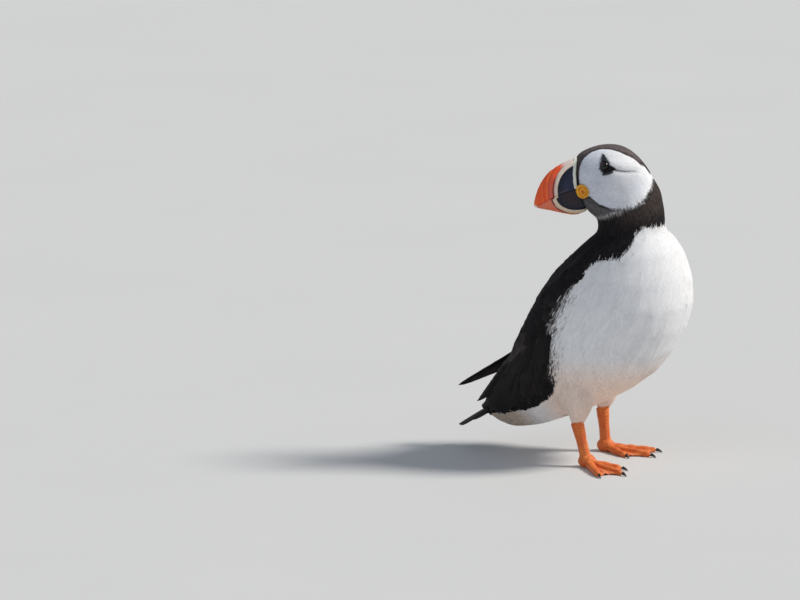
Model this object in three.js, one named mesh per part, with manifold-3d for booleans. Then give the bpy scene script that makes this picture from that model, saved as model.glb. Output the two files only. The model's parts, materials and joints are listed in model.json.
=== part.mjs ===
// An Atlantic puffin at life size, standing on both feet and looking back over its right shoulder.
// Millimetres, +Z up. The bird faces -Y, its left side is +X, and its soles are at z = 0.
// Places are written as (forward, left, up), and place() turns them into x, y, z.

import * as THREE from "three";
import { mergeVertices } from "three/addons/utils/BufferGeometryUtils.js";
import Module from "manifold-3d";

const wasm = await Module();
wasm.setup();

// ---------------------------------------------------------------- driving dimensions

const GAP = 0.3; // between neighbouring solids
const FINENESS = 0.08; // how far a surface may stray when its triangles are made fewer
const RIGHT = -1;
const LEFT = 1;
const DEGREE = Math.PI / 180;

// The trunk's sections run from inside the neck to the root of the tail. Each goes from a point on
// the back to a point on the belly, both (forward, up), and has a half width.
const TRUNK = {
  sections: [
    { back: [23, 168], belly: [23, 168], half: 0 },
    { back: [9, 156], belly: [34, 157], half: 13 },
    { back: [-7, 143], belly: [51.5, 145.5], half: 27 },
    { back: [-34.5, 114], belly: [62.5, 112], half: 40 },
    { back: [-49, 84], belly: [53.5, 81], half: 41 },
    { back: [-59.5, 60], belly: [31, 54.5], half: 35 },
    { back: [-70, 43], belly: [-8, 32.5], half: 25 },
    { back: [-78, 32.5], belly: [-54, 17], half: 13 },
    { back: [-82, 26], belly: [-82, 26], half: 0 },
  ],
  fullness: 2.15, // exponent of a section's superellipse
};

const NECK = {
  path: [
    [24, 0, 136],
    [22, 0, 156],
    [21.5, 0, 172],
    [18, 0, 188],
  ],
  radii: [20, 21.5, 20, 14],
  collar: { at: [22, 0, 147], lean: -4 * DEGREE }, // the cut below the neck
};

// The head is built in a frame of its own: forward along the gape line, origin at the gape.
const HEAD = {
  gape: [-6.7, -17, 176.6],
  turn: -145 * DEGREE, // about the vertical, to the bird's right
  pitch: 16 * DEGREE, // bill down
  roll: 0,
  sections: [
    { at: 4, top: 14, chin: -8, half: 5 },
    { at: -0.5, top: 21.6, chin: -15.5, half: 9.8 },
    { at: -8, top: 23.8, chin: -20, half: 14.5 },
    { at: -17, top: 24.7, chin: -21.5, half: 18 },
    { at: -27, top: 23.2, chin: -21.5, half: 19.5 },
    { at: -36, top: 18.6, chin: -19.5, half: 18 },
    { at: -43, top: 9, chin: -15.5, half: 13 },
    { at: -47.3, top: -2.4, chin: -6.6, half: 4 },
  ],
  fullness: 2.3,
  nape: { at: [-24, 0, -17.5], lean: -17 * DEGREE }, // the cut above the neck
};

// Side outlines of the bill are (forward, up) in the head's frame, from the base to the tip.
const BILL = {
  culmen: [
    [-9, 19.5],
    [-3.2, 21.8],
    [8, 20.3],
    [17, 17.2],
    [25, 9.8],
    [30.9, 0.5],
  ],
  gonys: [
    [-9, -8],
    [-1, -13.2],
    [6.5, -13.6],
    [14, -10.2],
    [22, -5.6],
    [30.2, -1.4],
  ],
  halfWidths: [8.6, 8.4, 6.8, 5, 3.2, 1.2],
  base: { centre: [-17.5, 1.5], radii: [19.2, 27] }, // ellipse where the horn meets the feathers
  cere: 2.1, // width of the ridge along the base
  upperPlate: { centre: [-2, 1.5], radii: [19, 19.2] }, // ellipse round the slate plate and its band
  lowerPlate: { centre: [-2, 1.1], radii: [20.5, 14.8] },
  band: 2.6,
  gape: { start: [-20, 0], bend: [8, 9], end: [36, -3.6] }, // where the mandibles meet
};

const ROSETTE = { at: [-0.8, 10.2, 1.7], radii: [4.2, 3.2, 4.8], lean: 30 * DEGREE };

const EYE = { forward: -17.6, up: 13.8, radius: 4, proud: 1.2 };
const EYE_PLATES = {
  thick: 0.8,
  upper: { from: [-16, 16.2], to: [-20.8, 16.2], peak: [-19.6, 21] },
  lower: { from: [-14.2, 9.6], to: [-21.2, 9.2], height: 1.4 },
};

const TAIL = {
  root: [-66, 0, 34],
  length: 36,
  halfWidths: [9, 13],
  drop: 31 * DEGREE,
  thick: 2,
  arch: 3,
  feathers: 6,
  scallop: 1.6,
};

const SHANK = { radii: [4.4, 5.2, 9.2, 14, 17], knee: [2, 10] }; // radii from the ankle up
const TARSUS = { radii: [4, 3.5, 3.4, 4.1, 4.4], flatten: 0.78 }; // radii from the heel up
const TOES = [
  { name: "inner", length: 25, spread: 25, knuckles: 2 },
  { name: "middle", length: 35, spread: 0, knuckles: 3 },
  { name: "outer", length: 33, spread: -27, knuckles: 4 },
];
const TOE = { rootRadius: 2.7, tipRadius: 1.9, rootUp: 3.6, tipUp: 1.5, swell: 0.3 };
const HEEL = { up: 3.8, radii: [6, 4.8, 4.8] };
const WEB = { thick: 0.9, up: 0.95, notch: 0.12, reach: 0.96 };
const CLAW = { length: 5.2, radius: 1.4, inset: 1, curl: 44 };
const LEGS = [
  {
    side: RIGHT,
    name: "right",
    heel: [3, -25],
    ankle: [-5, -25],
    hip: [-12, -19, 62],
    toeOut: 26,
  },
  {
    side: LEFT,
    name: "left",
    heel: [-5.7, 25],
    ankle: [-8.5, 25],
    hip: [-12, 19, 62],
    toeOut: -10,
  },
];
const ANKLE_CUT = 28;
const HEEL_CUT = 8;

// A folded wing is a plate over the trunk, between two angles measured from the middle of the back.
const WING = {
  from: 0.265,
  to: 0.84,
  dorsal: [56, 34, 25, 20, 12],
  leading: [72, 71, 78, 101, 108],
  thick: 4.5,
  edge: 1.4,
  grow: [0.006, 1.6], // how far the ends and edges of the plate move for a margin of 1
};

// The long feathers of each folded wing, past the coverts.
const PRIMARIES = {
  right: [
    [-36, -37, 76],
    [-51, -25, 59.6],
    [-81, -12, 34.7],
  ],
  left: [
    [-47, 27, 72],
    [-72, 18, 54.5],
    [-101, 7, 37.3],
  ],
  halfChord: 6,
  thick: 2.2,
};

const COLOURS = {
  black: 0x17151a,
  white: 0xe9e8e6,
  face: 0xc9cbd2,
  orange: 0xe8641e,
  red: 0xe24a1c,
  slate: 0x2c3346,
  cream: 0xe2d9bd,
  yellow: 0xe8930c,
  claw: 0x1c1714,
  eye: 0x120c0a,
  plate: 0x3d3f4a,
};

// ---------------------------------------------------------------- helpers

const place = (forward, left, up) => new THREE.Vector3(left, -forward, up);

const mix = THREE.MathUtils.lerp;

const power = (value, exponent) => Math.sign(value) * Math.abs(value) ** exponent;

// A smooth function of 0 to 1 through evenly spaced values.
function smooth(values) {
  const curve = new THREE.SplineCurve(values.map((value, i) => new THREE.Vector2(i, value)));
  return (t) => curve.getPoint(Math.min(1, Math.max(0, t))).y;
}

// A closed skin from a sphere. pointAt(t, angle) gives its points, with t from one pole to the other.
function wrapped(around, rows, pointAt) {
  const geometry = new THREE.SphereGeometry(1, around, rows);
  const { position, uv } = geometry.attributes;
  for (let i = 0; i < position.count; i++) {
    const even = 1 - uv.getY(i);
    const eased = (1 - Math.cos(Math.PI * even)) / 2;
    const p = pointAt(mix(eased, even, 0.6), 2 * Math.PI * uv.getX(i));
    position.setXYZ(i, p.x, p.y, p.z);
  }
  return geometry;
}

// A closed plate from a box. pointAt(u, v, w) gives its points, each from 0 to 1, with w through it.
function plated(columns, rows, pointAt) {
  const geometry = new THREE.BoxGeometry(1, 1, 1, columns, rows, 1);
  const { position } = geometry.attributes;
  for (let i = 0; i < position.count; i++) {
    const p = pointAt(position.getX(i) + 0.5, position.getY(i) + 0.5, position.getZ(i) + 0.5);
    position.setXYZ(i, p.x, p.y, p.z);
  }
  return geometry;
}

// A tube with rounded ends along places, with its radii from end to end. Flatten narrows it sideways.
function limb(around, rows, places, radii, flatten = 1) {
  const curve = new THREE.CatmullRomCurve3(places.map((p) => place(...p)));
  const radiusAt = smooth(radii);
  const rounding = 0.08;
  return wrapped(around, rows, (t, angle) => {
    const toEnd = Math.min(t, 1 - t, rounding) / rounding;
    const radius = radiusAt(t) * Math.sqrt(1 - (1 - toEnd) ** 2);
    const ahead = curve.getTangent(t);
    const across = place(0, 1, 0);
    across.addScaledVector(ahead, -across.dot(ahead)).normalize();
    const other = new THREE.Vector3().crossVectors(ahead, across);
    return curve
      .getPoint(t)
      .addScaledVector(across, radius * flatten * Math.cos(angle))
      .addScaledVector(other, radius * Math.sin(angle));
  });
}

function solidOf(geometry) {
  const bare = geometry.clone();
  bare.deleteAttribute("normal");
  bare.deleteAttribute("uv");
  const merged = mergeVertices(bare, 1e-3);
  const corners = Uint32Array.from(merged.index.array);
  const build = () =>
    new wasm.Manifold(
      new wasm.Mesh({
        numProp: 3,
        vertProperties: merged.attributes.position.array,
        triVerts: corners,
      }),
    );
  const made = build();
  if (made.volume() > 0) return made;
  for (let i = 0; i < corners.length; i += 3) {
    corners.subarray(i, i + 3).reverse();
  }
  return build();
}

function geometryOf(solid) {
  const { numProp, numVert, vertProperties, triVerts } = solid.getMesh();
  const points = new Float32Array(numVert * 3);
  for (let i = 0; i < numVert; i++) {
    points.set(vertProperties.subarray(i * numProp, i * numProp + 3), i * 3);
  }
  const geometry = new THREE.BufferGeometry();
  geometry.setAttribute("position", new THREE.BufferAttribute(points, 3));
  geometry.setIndex(new THREE.BufferAttribute(triVerts, 1));
  geometry.computeVertexNormals();
  return geometry;
}

const union = (solids) => solids.reduce((sum, one) => sum.add(one));

const without = (solid, others) => others.reduce((rest, one) => rest.subtract(one), solid);

const biggest = (solid) => solid.decompose().sort((a, b) => b.volume() - a.volume())[0];

// A thin square plate that parts a solid, level unless a matrix turns it.
function parting(size, matrix) {
  return solidOf(new THREE.BoxGeometry(size, size, GAP).applyMatrix4(matrix));
}

// The parts of a solid on either side of a thin cut, lowest first.
function parted(solid, cut) {
  const middle = (piece) => piece.boundingBox().min[2] + piece.boundingBox().max[2];
  return solid
    .subtract(cut)
    .decompose()
    .filter((piece) => piece.volume() > 1)
    .sort((a, b) => middle(a) - middle(b));
}

const bird = new THREE.Group();

function add(name, solid, colour, roughness = 0.8) {
  const material = new THREE.MeshStandardMaterial({ color: colour, roughness, metalness: 0 });
  const mesh = new THREE.Mesh(geometryOf(biggest(solid).simplify(FINENESS)), material);
  mesh.name = name;
  bird.add(mesh);
}

// ---------------------------------------------------------------- trunk

const backLine = new THREE.CatmullRomCurve3(
  TRUNK.sections.map(({ back }) => place(back[0], 0, back[1])),
);
const bellyLine = new THREE.CatmullRomCurve3(
  TRUNK.sections.map(({ belly }) => place(belly[0], 0, belly[1])),
);
const trunkHalf = smooth(TRUNK.sections.map(({ half }) => half));

// A point of the trunk's surface. The angle is 0 on the back and 90 degrees on the left side.
function trunkPoint(t, angle) {
  const back = backLine.getPoint(t);
  const belly = bellyLine.getPoint(t);
  const point = back.clone().add(belly).multiplyScalar(0.5);
  point.addScaledVector(back.sub(belly), power(Math.cos(angle), 2 / TRUNK.fullness) / 2);
  point.x += Math.max(0, trunkHalf(t)) * power(Math.sin(angle), 2 / TRUNK.fullness);
  return point;
}

// The same point moved out from the surface by a margin.
function trunkLifted(t, angle, margin) {
  const step = 0.01;
  const [from, to] = [Math.max(0.02, t - step), Math.min(0.98, t + step)];
  const lengthwise = trunkPoint(to, angle).sub(trunkPoint(from, angle));
  const round = trunkPoint(t, angle + step).sub(trunkPoint(t, angle - step));
  const outward = new THREE.Vector3().crossVectors(round, lengthwise);
  if (outward.lengthSq() === 0) return trunkPoint(t, angle);
  return trunkPoint(t, angle).addScaledVector(outward.normalize(), margin);
}

function trunkSolid(margin = 0) {
  return solidOf(
    wrapped(26, 19, (t, angle) => {
      const edge = Math.min(t, 1 - t) < 1e-6;
      return margin && !edge ? trunkLifted(t, angle, margin) : trunkPoint(t, angle);
    }),
  );
}

// ---------------------------------------------------------------- head and neck

const headPose = new THREE.Matrix4().compose(
  place(...HEAD.gape),
  new THREE.Quaternion().setFromEuler(new THREE.Euler(HEAD.pitch, HEAD.roll, HEAD.turn, "ZXY")),
  new THREE.Vector3(1, 1, 1),
);
const posed = (solid) => solid.transform(headPose.elements);

const headAt = smooth(HEAD.sections.map(({ at }) => at));
const headTop = smooth(HEAD.sections.map(({ top }) => top));
const headChin = smooth(HEAD.sections.map(({ chin }) => chin));
const headHalf = smooth(HEAD.sections.map(({ half }) => half));

function headLoft(margin = 0) {
  const geometry = wrapped(22, 15, (t, angle) => {
    const closing = Math.sqrt(1 - Math.abs(2 * t - 1) ** 10);
    const tall = (headTop(t) - headChin(t)) / 2 + margin;
    const wide = headHalf(t) + margin;
    const up = (headTop(t) + headChin(t)) / 2;
    return place(
      headAt(t) + Math.cos(Math.PI * t) * margin,
      closing * wide * power(Math.sin(angle), 2 / HEAD.fullness),
      up + closing * tall * power(Math.cos(angle), 2 / HEAD.fullness),
    );
  });
  return solidOf(geometry);
}

// How far out the side of the head is, at a place given as (forward, up).
function headSide(forward, up) {
  let t = 0;
  while (t < 1 && headAt(t) > forward) {
    t += 0.005;
  }
  const tall = (headTop(t) - headChin(t)) / 2;
  const share = (up - (headTop(t) + headChin(t)) / 2) / tall;
  return headHalf(t) * (1 - Math.abs(share) ** HEAD.fullness) ** (1 / HEAD.fullness);
}

// A prism right across the head from a side outline, which is drawn as (forward, up).
function acrossHead(shape) {
  const width = 80;
  const geometry = new THREE.ExtrudeGeometry(shape, {
    depth: width,
    bevelEnabled: false,
    curveSegments: 7,
  });
  const turned = new THREE.Matrix4().makeBasis(place(1, 0, 0), place(0, 0, 1), place(0, 1, 0));
  geometry.translate(0, 0, -width / 2);
  return solidOf(geometry.applyMatrix4(turned));
}

// Everything behind the ellipse where the horn of the bill meets the feathers, grown by a margin.
function behindBillBase(margin) {
  const { centre, radii } = BILL.base;
  const [rx, ry] = [radii[0] + margin, radii[1] + margin];
  const shape = new THREE.Shape();
  shape.moveTo(centre[0], centre[1] + ry);
  shape.absellipse(...centre, rx, ry, Math.PI / 2, -Math.PI / 2, true);
  shape.lineTo(centre[0] - 40, centre[1] - ry);
  shape.lineTo(centre[0] - 40, centre[1] + ry);
  return acrossHead(shape);
}

// Everything behind the edge of the side plates, with the edge drawn back by an inset.
function behindPlateEdge(inset) {
  const { upperPlate: upper, lowerPlate: lower } = BILL;
  const shape = new THREE.Shape();
  shape.moveTo(upper.centre[0], upper.centre[1] + upper.radii[1] - inset);
  shape.absellipse(
    ...upper.centre, upper.radii[0] - inset, upper.radii[1] - inset, Math.PI / 2, 0, true,
  );
  shape.absellipse(
    ...lower.centre, lower.radii[0] - inset, lower.radii[1] - inset, 0, -Math.PI / 2, true,
  );
  shape.lineTo(-40, lower.centre[1] - lower.radii[1] + inset);
  shape.lineTo(-40, upper.centre[1] + upper.radii[1] - inset);
  return acrossHead(shape);
}

// The bill whole, as a loft between its two side outlines.
function billLoft(margin = 0) {
  const culmen = new THREE.SplineCurve(BILL.culmen.map((p) => new THREE.Vector2(...p)));
  const gonys = new THREE.SplineCurve(BILL.gonys.map((p) => new THREE.Vector2(...p)));
  const halfWidth = smooth(BILL.halfWidths);
  const geometry = wrapped(16, 13, (t, angle) => {
    const [top, bottom] = [culmen.getPoint(t), gonys.getPoint(t)];
    const closing = Math.sqrt(1 - Math.abs(2 * t - 1) ** 14);
    const middle = top.clone().add(bottom).multiplyScalar(0.5);
    const reach = top.clone().sub(bottom).multiplyScalar(0.5);
    reach.setLength(reach.length() + margin).multiplyScalar(closing * Math.cos(angle));
    return place(
      middle.x + reach.x,
      closing * (halfWidth(t) + margin) * Math.sin(angle),
      middle.y + reach.y,
    );
  });
  return solidOf(geometry);
}

// The thin curved cut along the gape, between the mandibles.
function gapeCut() {
  const { start, bend, end } = BILL.gape;
  const shape = new THREE.Shape();
  shape.moveTo(start[0], start[1] + GAP / 2);
  shape.quadraticCurveTo(bend[0], bend[1] + GAP / 2, end[0], end[1] + GAP / 2);
  shape.lineTo(end[0], end[1] - GAP / 2);
  shape.quadraticCurveTo(bend[0], bend[1] - GAP / 2, start[0], start[1] - GAP / 2);
  return acrossHead(shape);
}

function addBill() {
  const horn = without(billLoft(), [behindBillBase(0)]);
  const [lower, upper] = parted(horn, gapeCut());
  const tipZone = behindPlateEdge(0);
  const bandZone = behindPlateEdge(BILL.band);
  const cereZone = behindBillBase(BILL.cere);
  const edgeOf = (zone) => zone.add(zone.translate([0, -GAP, 0]));
  const mandibles = [
    { name: "upper", horn: upper.subtract(edgeOf(cereZone)), red: COLOURS.red },
    { name: "lower", horn: lower, red: COLOURS.orange },
  ];
  add("cere", posed(upper.intersect(cereZone)), COLOURS.cream, 0.5);
  for (const { name, horn: side, red } of mandibles) {
    add(`bill_${name}_tip`, posed(side.subtract(edgeOf(tipZone))), red, 0.4);
    const band = side.intersect(tipZone).subtract(edgeOf(bandZone));
    add(`bill_${name}_band`, posed(band), COLOURS.cream, 0.45);
    add(`bill_${name}_plate`, posed(side.intersect(bandZone)), COLOURS.slate, 0.45);
  }
}

function rosetteSolid(side) {
  const { at, radii, lean } = ROSETTE;
  const geometry = new THREE.SphereGeometry(1, 12, 8);
  geometry.scale(radii[1], radii[0], radii[2]);
  geometry.rotateX(lean);
  geometry.translate(side * at[1], -at[0], at[2]);
  return solidOf(geometry);
}

// A thin plate on the side of the head. outline(u, v) gives (forward, up).
function facePlate(side, outline) {
  const geometry = plated(4, 2, (u, v, w) => {
    const [forward, up] = outline(u, v);
    return place(forward, side * (headSide(forward, up) + GAP + w * EYE_PLATES.thick), up);
  });
  return solidOf(geometry);
}

function upperEyePlate(u, v) {
  const { from, to, peak } = EYE_PLATES.upper;
  const narrowed = mix(mix(from[0], to[0], u), peak[0], v * 0.85);
  return [narrowed, mix(from[1], peak[1], v)];
}

function lowerEyePlate(u, v) {
  const { from, to, height } = EYE_PLATES.lower;
  const swell = 0.5 + 0.5 * Math.sin(Math.PI * u);
  return [mix(from[0], to[0], u), from[1] + (v - 0.5) * height * swell];
}

function eyeball(side, margin = 0) {
  const { forward, up, radius, proud } = EYE;
  const geometry = new THREE.SphereGeometry(radius + margin, 12, 8);
  const left = side * (headSide(forward, up) + proud - radius);
  geometry.rotateZ(Math.PI / 2);
  geometry.translate(left, -forward, up);
  return solidOf(geometry);
}

// The cut above the neck, set in the head's frame, and the cut below it.
function neckCuts() {
  const size = 74;
  const above = new THREE.Matrix4()
    .makeRotationX(HEAD.nape.lean)
    .setPosition(place(...HEAD.nape.at))
    .premultiply(headPose);
  const below = new THREE.Matrix4()
    .makeRotationX(NECK.collar.lean)
    .setPosition(place(...NECK.collar.at));
  return [parting(size, above), parting(2 * size, below)];
}

function addHeadNeckAndTrunk() {
  const neckTube = solidOf(limb(22, 6, NECK.path, NECK.radii));
  const face = posed(without(headLoft(), [billRoom()]));
  const whole = union([trunkSolid(), neckTube, face]);
  const [above, below] = neckCuts();
  const [trunk, rest] = parted(whole, below);
  const [neck, head] = parted(rest, above);
  const sockets = [RIGHT, LEFT].map((side) => posed(eyeball(side, GAP)));
  add("trunk", trunk, COLOURS.white);
  add("neck", without(neck, [posed(billLoft(GAP))]), COLOURS.black);
  add("head", without(head, sockets), COLOURS.face);
}

// The space in front of the line where the feathers end.
function billRoom() {
  const front = solidOf(new THREE.BoxGeometry(90, 60, 90).translate(0, -22, 0));
  return front.subtract(behindBillBase(-GAP));
}

function addFaceParts() {
  const flesh = [headLoft(GAP), billLoft(GAP)];
  for (const [side, name] of [
    [RIGHT, "right"],
    [LEFT, "left"],
  ]) {
    add(`eye_${name}`, posed(eyeball(side)), COLOURS.eye, 0.08);
    add(`rosette_${name}`, posed(without(rosetteSolid(side), flesh)), COLOURS.yellow, 0.6);
    const clear = [eyeball(side, GAP)];
    const upper = without(facePlate(side, upperEyePlate), clear);
    const lower = without(facePlate(side, lowerEyePlate), clear);
    add(`eye_plate_upper_${name}`, posed(upper), COLOURS.plate, 0.6);
    add(`eye_plate_lower_${name}`, posed(lower), COLOURS.plate, 0.6);
  }
}

// ---------------------------------------------------------------- wings and tail

function wingSolid(side, margin = 0) {
  const dorsal = smooth(WING.dorsal);
  const leading = smooth(WING.leading);
  const geometry = plated(14, 6, (u, v, w) => {
    const t = mix(WING.from, WING.to, u) + (2 * u - 1) * margin * WING.grow[0];
    const angle = (mix(dorsal(u), leading(u), v) + (2 * v - 1) * margin * WING.grow[1]) * DEGREE;
    const crown = Math.sqrt(Math.sin(Math.PI * u) * Math.sin(Math.PI * v));
    const thick = mix(WING.edge, WING.thick, crown) + 2 * margin;
    return trunkLifted(t, side * angle, GAP - margin + w * thick);
  });
  return solidOf(geometry);
}

// The stack of long feathers at the end of a folded wing: a blade that narrows to its tip.
function primariesSolid(places, side) {
  const curve = new THREE.CatmullRomCurve3(places.map((p) => place(...p)));
  const out = place(-0.25, side, 0.45).normalize();
  const geometry = plated(8, 4, (u, v, w) => {
    const ahead = curve.getTangent(u);
    const across = new THREE.Vector3().crossVectors(ahead, out).normalize();
    const chord = PRIMARIES.halfChord * Math.sqrt(1 - 0.985 * u ** 2.2);
    const spread = 2 * v - 1;
    const thick = PRIMARIES.thick * (1 - 0.45 * u) * (1 - 0.4 * spread ** 2);
    return curve
      .getPoint(u)
      .addScaledVector(across, chord * spread)
      .addScaledVector(out, (w - 0.5) * thick - 1.6 * spread ** 2);
  });
  return solidOf(geometry);
}

function tailSolid() {
  const { root, length, halfWidths, drop, thick, arch, feathers, scallop } = TAIL;
  const back = place(-Math.cos(drop), 0, -Math.sin(drop));
  const up = place(-Math.sin(drop), 0, Math.cos(drop));
  const geometry = plated(4 * feathers, 4, (u, v, w) => {
    const side = 2 * u - 1;
    const rounded = 1 - 0.16 * side ** 2;
    const tips = scallop * Math.abs(Math.sin(Math.PI * feathers * u));
    const depth = thick * (1 - 0.45 * v) * (1 - 0.4 * side ** 2);
    return place(...root)
      .addScaledVector(back, v * (length * rounded + tips))
      .addScaledVector(up, (w - 0.5) * depth - arch * side ** 2 * (0.5 + 0.5 * v))
      .add(place(0, side * mix(...halfWidths, v), 0));
  });
  return solidOf(geometry);
}

function addWingsAndTail() {
  const body = trunkSolid(GAP);
  const tail = without(tailSolid(), [body]);
  for (const [side, name] of [
    [RIGHT, "right"],
    [LEFT, "left"],
  ]) {
    const blade = primariesSolid(PRIMARIES[name], side);
    add(`wing_${name}`, wingSolid(side), COLOURS.black);
    add(`primaries_${name}`, without(blade, [body, wingSolid(side, GAP)]), COLOURS.black, 0.6);
  }
  add("tail", tail, COLOURS.black, 0.6);
}

// ---------------------------------------------------------------- legs and feet

// The line of a toe on the floor, as a function of 0 to 1 from the heel joint to the claw.
function toeLine(leg, toe) {
  const heading = (leg.side * leg.toeOut - leg.side * toe.spread) * DEGREE;
  return (t, up) => {
    const reach = t * toe.length;
    return place(
      leg.heel[0] + reach * Math.cos(heading),
      leg.heel[1] + reach * Math.sin(heading),
      up,
    );
  };
}

function toeSolid(leg, toe) {
  const line = toeLine(leg, toe);
  const sideways = line(1, 0).sub(line(0, 0)).cross(place(0, 0, 1)).normalize();
  const geometry = wrapped(7, 3 * toe.knuckles, (t, angle) => {
    const knuckle = TOE.swell * Math.cos(2 * Math.PI * toe.knuckles * t);
    const closing = Math.sqrt(1 - Math.abs(2 * t - 1) ** 12);
    const radius = closing * (mix(TOE.rootRadius, TOE.tipRadius, t) + knuckle);
    const up = mix(TOE.rootUp, TOE.tipUp, Math.sqrt(t)) + radius * Math.sin(angle);
    return line(t, up).addScaledVector(sideways, radius * Math.cos(angle));
  });
  return solidOf(geometry);
}

// The web between two toes, a thin sheet with a hollowed front edge.
function webSolid(leg, toeA, toeB) {
  const [lineA, lineB] = [toeLine(leg, toeA), toeLine(leg, toeB)];
  const geometry = plated(4, 4, (u, v, w) => {
    const reach = mix(0.06, WEB.reach, v) * (1 - WEB.notch * v * Math.sin(Math.PI * u));
    const sag = mix(TOE.rootUp - 1, WEB.up, Math.sqrt(v));
    const up = sag + (w - 0.5) * WEB.thick;
    return lineA(reach, up).lerp(lineB(reach, up), u);
  });
  return solidOf(geometry);
}

// A claw, curving down from inside the end of a toe. The margin thickens it.
function clawSolid(leg, toe, margin = 0) {
  const line = toeLine(leg, toe);
  const ahead = line(1, 0).sub(line(0, 0)).normalize();
  const sideways = ahead.clone().cross(place(0, 0, 1));
  const start = line(1, TOE.tipUp + 0.3).addScaledVector(ahead, -CLAW.inset - margin);
  const curl = CLAW.curl * DEGREE;
  const geometry = wrapped(7, 5, (t, angle) => {
    const bend = curl * t;
    const radius = (CLAW.radius + margin) * Math.sqrt(Math.min(1, t / 0.08)) * (1 - t) ** 0.6;
    const rise = (CLAW.length * (Math.cos(bend) - 1)) / curl + radius * Math.sin(angle) * Math.cos(bend);
    const reach = (CLAW.length * Math.sin(bend)) / curl + radius * Math.sin(angle) * Math.sin(bend);
    return start
      .clone()
      .addScaledVector(ahead, reach)
      .addScaledVector(place(0, 0, 1), rise)
      .addScaledVector(sideways, 0.75 * radius * Math.cos(angle));
  });
  return solidOf(geometry);
}

// A foot whole, with its heel, toes and webs, and the bare leg above it.
function bareLeg(leg) {
  const { heel, ankle } = leg;
  const path = [
    [...heel, HEEL.up - 2],
    [...ankle, ANKLE_CUT + 4],
  ];
  const joint = new THREE.SphereGeometry(1, 10, 6);
  joint.scale(HEEL.radii[1], HEEL.radii[0], HEEL.radii[2]);
  joint.translate(...place(...heel, HEEL.up).toArray());
  const toes = TOES.map((toe) => toeSolid(leg, toe));
  const [inner, middle, outer] = TOES;
  const webs = [webSolid(leg, inner, middle), webSolid(leg, middle, outer)];
  const tube = limb(10, 6, path, TARSUS.radii, TARSUS.flatten);
  return union([solidOf(tube), solidOf(joint), ...toes, ...webs]);
}

function addLeg(leg) {
  const { ankle, hip, side, name } = leg;
  const floor = solidOf(new THREE.BoxGeometry(400, 400, 100).translate(0, 0, -50));
  const level = (up) => parting(60, new THREE.Matrix4().setPosition(place(...leg.heel, up)));
  const knee = [ankle[0] + SHANK.knee[0], ankle[1], ANKLE_CUT + SHANK.knee[1]];
  const feathered = limb(12, 7, [[...ankle, ANKLE_CUT - 3], knee, hip], SHANK.radii);
  const [foot, above] = parted(bareLeg(leg).subtract(floor), level(HEEL_CUT));
  const [tarsus] = parted(above, level(ANKLE_CUT));
  const [, shank] = parted(solidOf(feathered), level(ANKLE_CUT));
  const sockets = TOES.map((toe) => clawSolid(leg, toe, GAP));
  add(`shank_${name}`, without(shank, [trunkSolid(GAP), wingSolid(side, GAP)]), COLOURS.white);
  add(`tarsus_${name}`, tarsus, COLOURS.orange, 0.5);
  add(`foot_${name}`, without(foot, sockets), COLOURS.orange, 0.5);
  for (const toe of TOES) {
    add(`claw_${name}_${toe.name}`, clawSolid(leg, toe).subtract(floor), COLOURS.claw, 0.4);
  }
}

addHeadNeckAndTrunk();
addBill();
addFaceParts();
addWingsAndTail();
LEGS.forEach(addLeg);

// The origin is the middle of the foot of the whole bird's box.
const box = new THREE.Box3().setFromObject(bird);
const middle = box.getCenter(new THREE.Vector3());
bird.position.set(-middle.x, -middle.y, -box.min.z);

export default bird;
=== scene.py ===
import json
import math

import bmesh
import bpy
import numpy as np
from mathutils import Matrix, Vector
from mathutils.bvhtree import BVHTree


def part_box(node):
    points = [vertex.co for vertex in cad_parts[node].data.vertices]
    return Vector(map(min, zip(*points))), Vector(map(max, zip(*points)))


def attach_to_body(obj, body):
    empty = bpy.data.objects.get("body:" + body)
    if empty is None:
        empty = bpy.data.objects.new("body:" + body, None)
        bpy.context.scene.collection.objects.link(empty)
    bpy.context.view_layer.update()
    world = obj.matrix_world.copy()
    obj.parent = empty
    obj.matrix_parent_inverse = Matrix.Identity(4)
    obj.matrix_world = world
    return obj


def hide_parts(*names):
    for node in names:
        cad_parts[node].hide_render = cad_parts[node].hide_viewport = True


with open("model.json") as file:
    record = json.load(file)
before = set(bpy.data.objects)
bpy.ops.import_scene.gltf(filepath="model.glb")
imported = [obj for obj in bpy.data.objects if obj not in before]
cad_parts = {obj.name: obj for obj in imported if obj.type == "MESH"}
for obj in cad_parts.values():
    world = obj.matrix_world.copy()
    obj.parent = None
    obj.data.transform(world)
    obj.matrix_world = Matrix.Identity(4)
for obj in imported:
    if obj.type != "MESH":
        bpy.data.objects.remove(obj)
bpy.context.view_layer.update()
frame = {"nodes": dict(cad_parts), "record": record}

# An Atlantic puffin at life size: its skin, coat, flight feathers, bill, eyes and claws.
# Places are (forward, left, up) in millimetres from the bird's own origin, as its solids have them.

MM = 0.001
TURN = 2 * math.pi
NODES = frame["nodes"]
SIDES = {"right": -1, "left": 1}
CHANCE = np.random.default_rng(11)

# ---- driving dimensions

HEEL = {"right": (3, -25), "left": (-5.7, 25)}
ANKLE = {"right": (-5, -25), "left": (-8.5, 25)}
ANKLE_UP = 28
TOE_OUT = {"right": 26, "left": -10}  # degrees
TOES = {"inner": (25, 25), "middle": (35, 0), "outer": (33, -27)}  # length, and spread in degrees

GAPE = (-6.7, -17, 176.6)  # origin of the head's own frame
HEAD_TURN = math.radians(-145)
HEAD_PITCH = math.radians(16)

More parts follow.
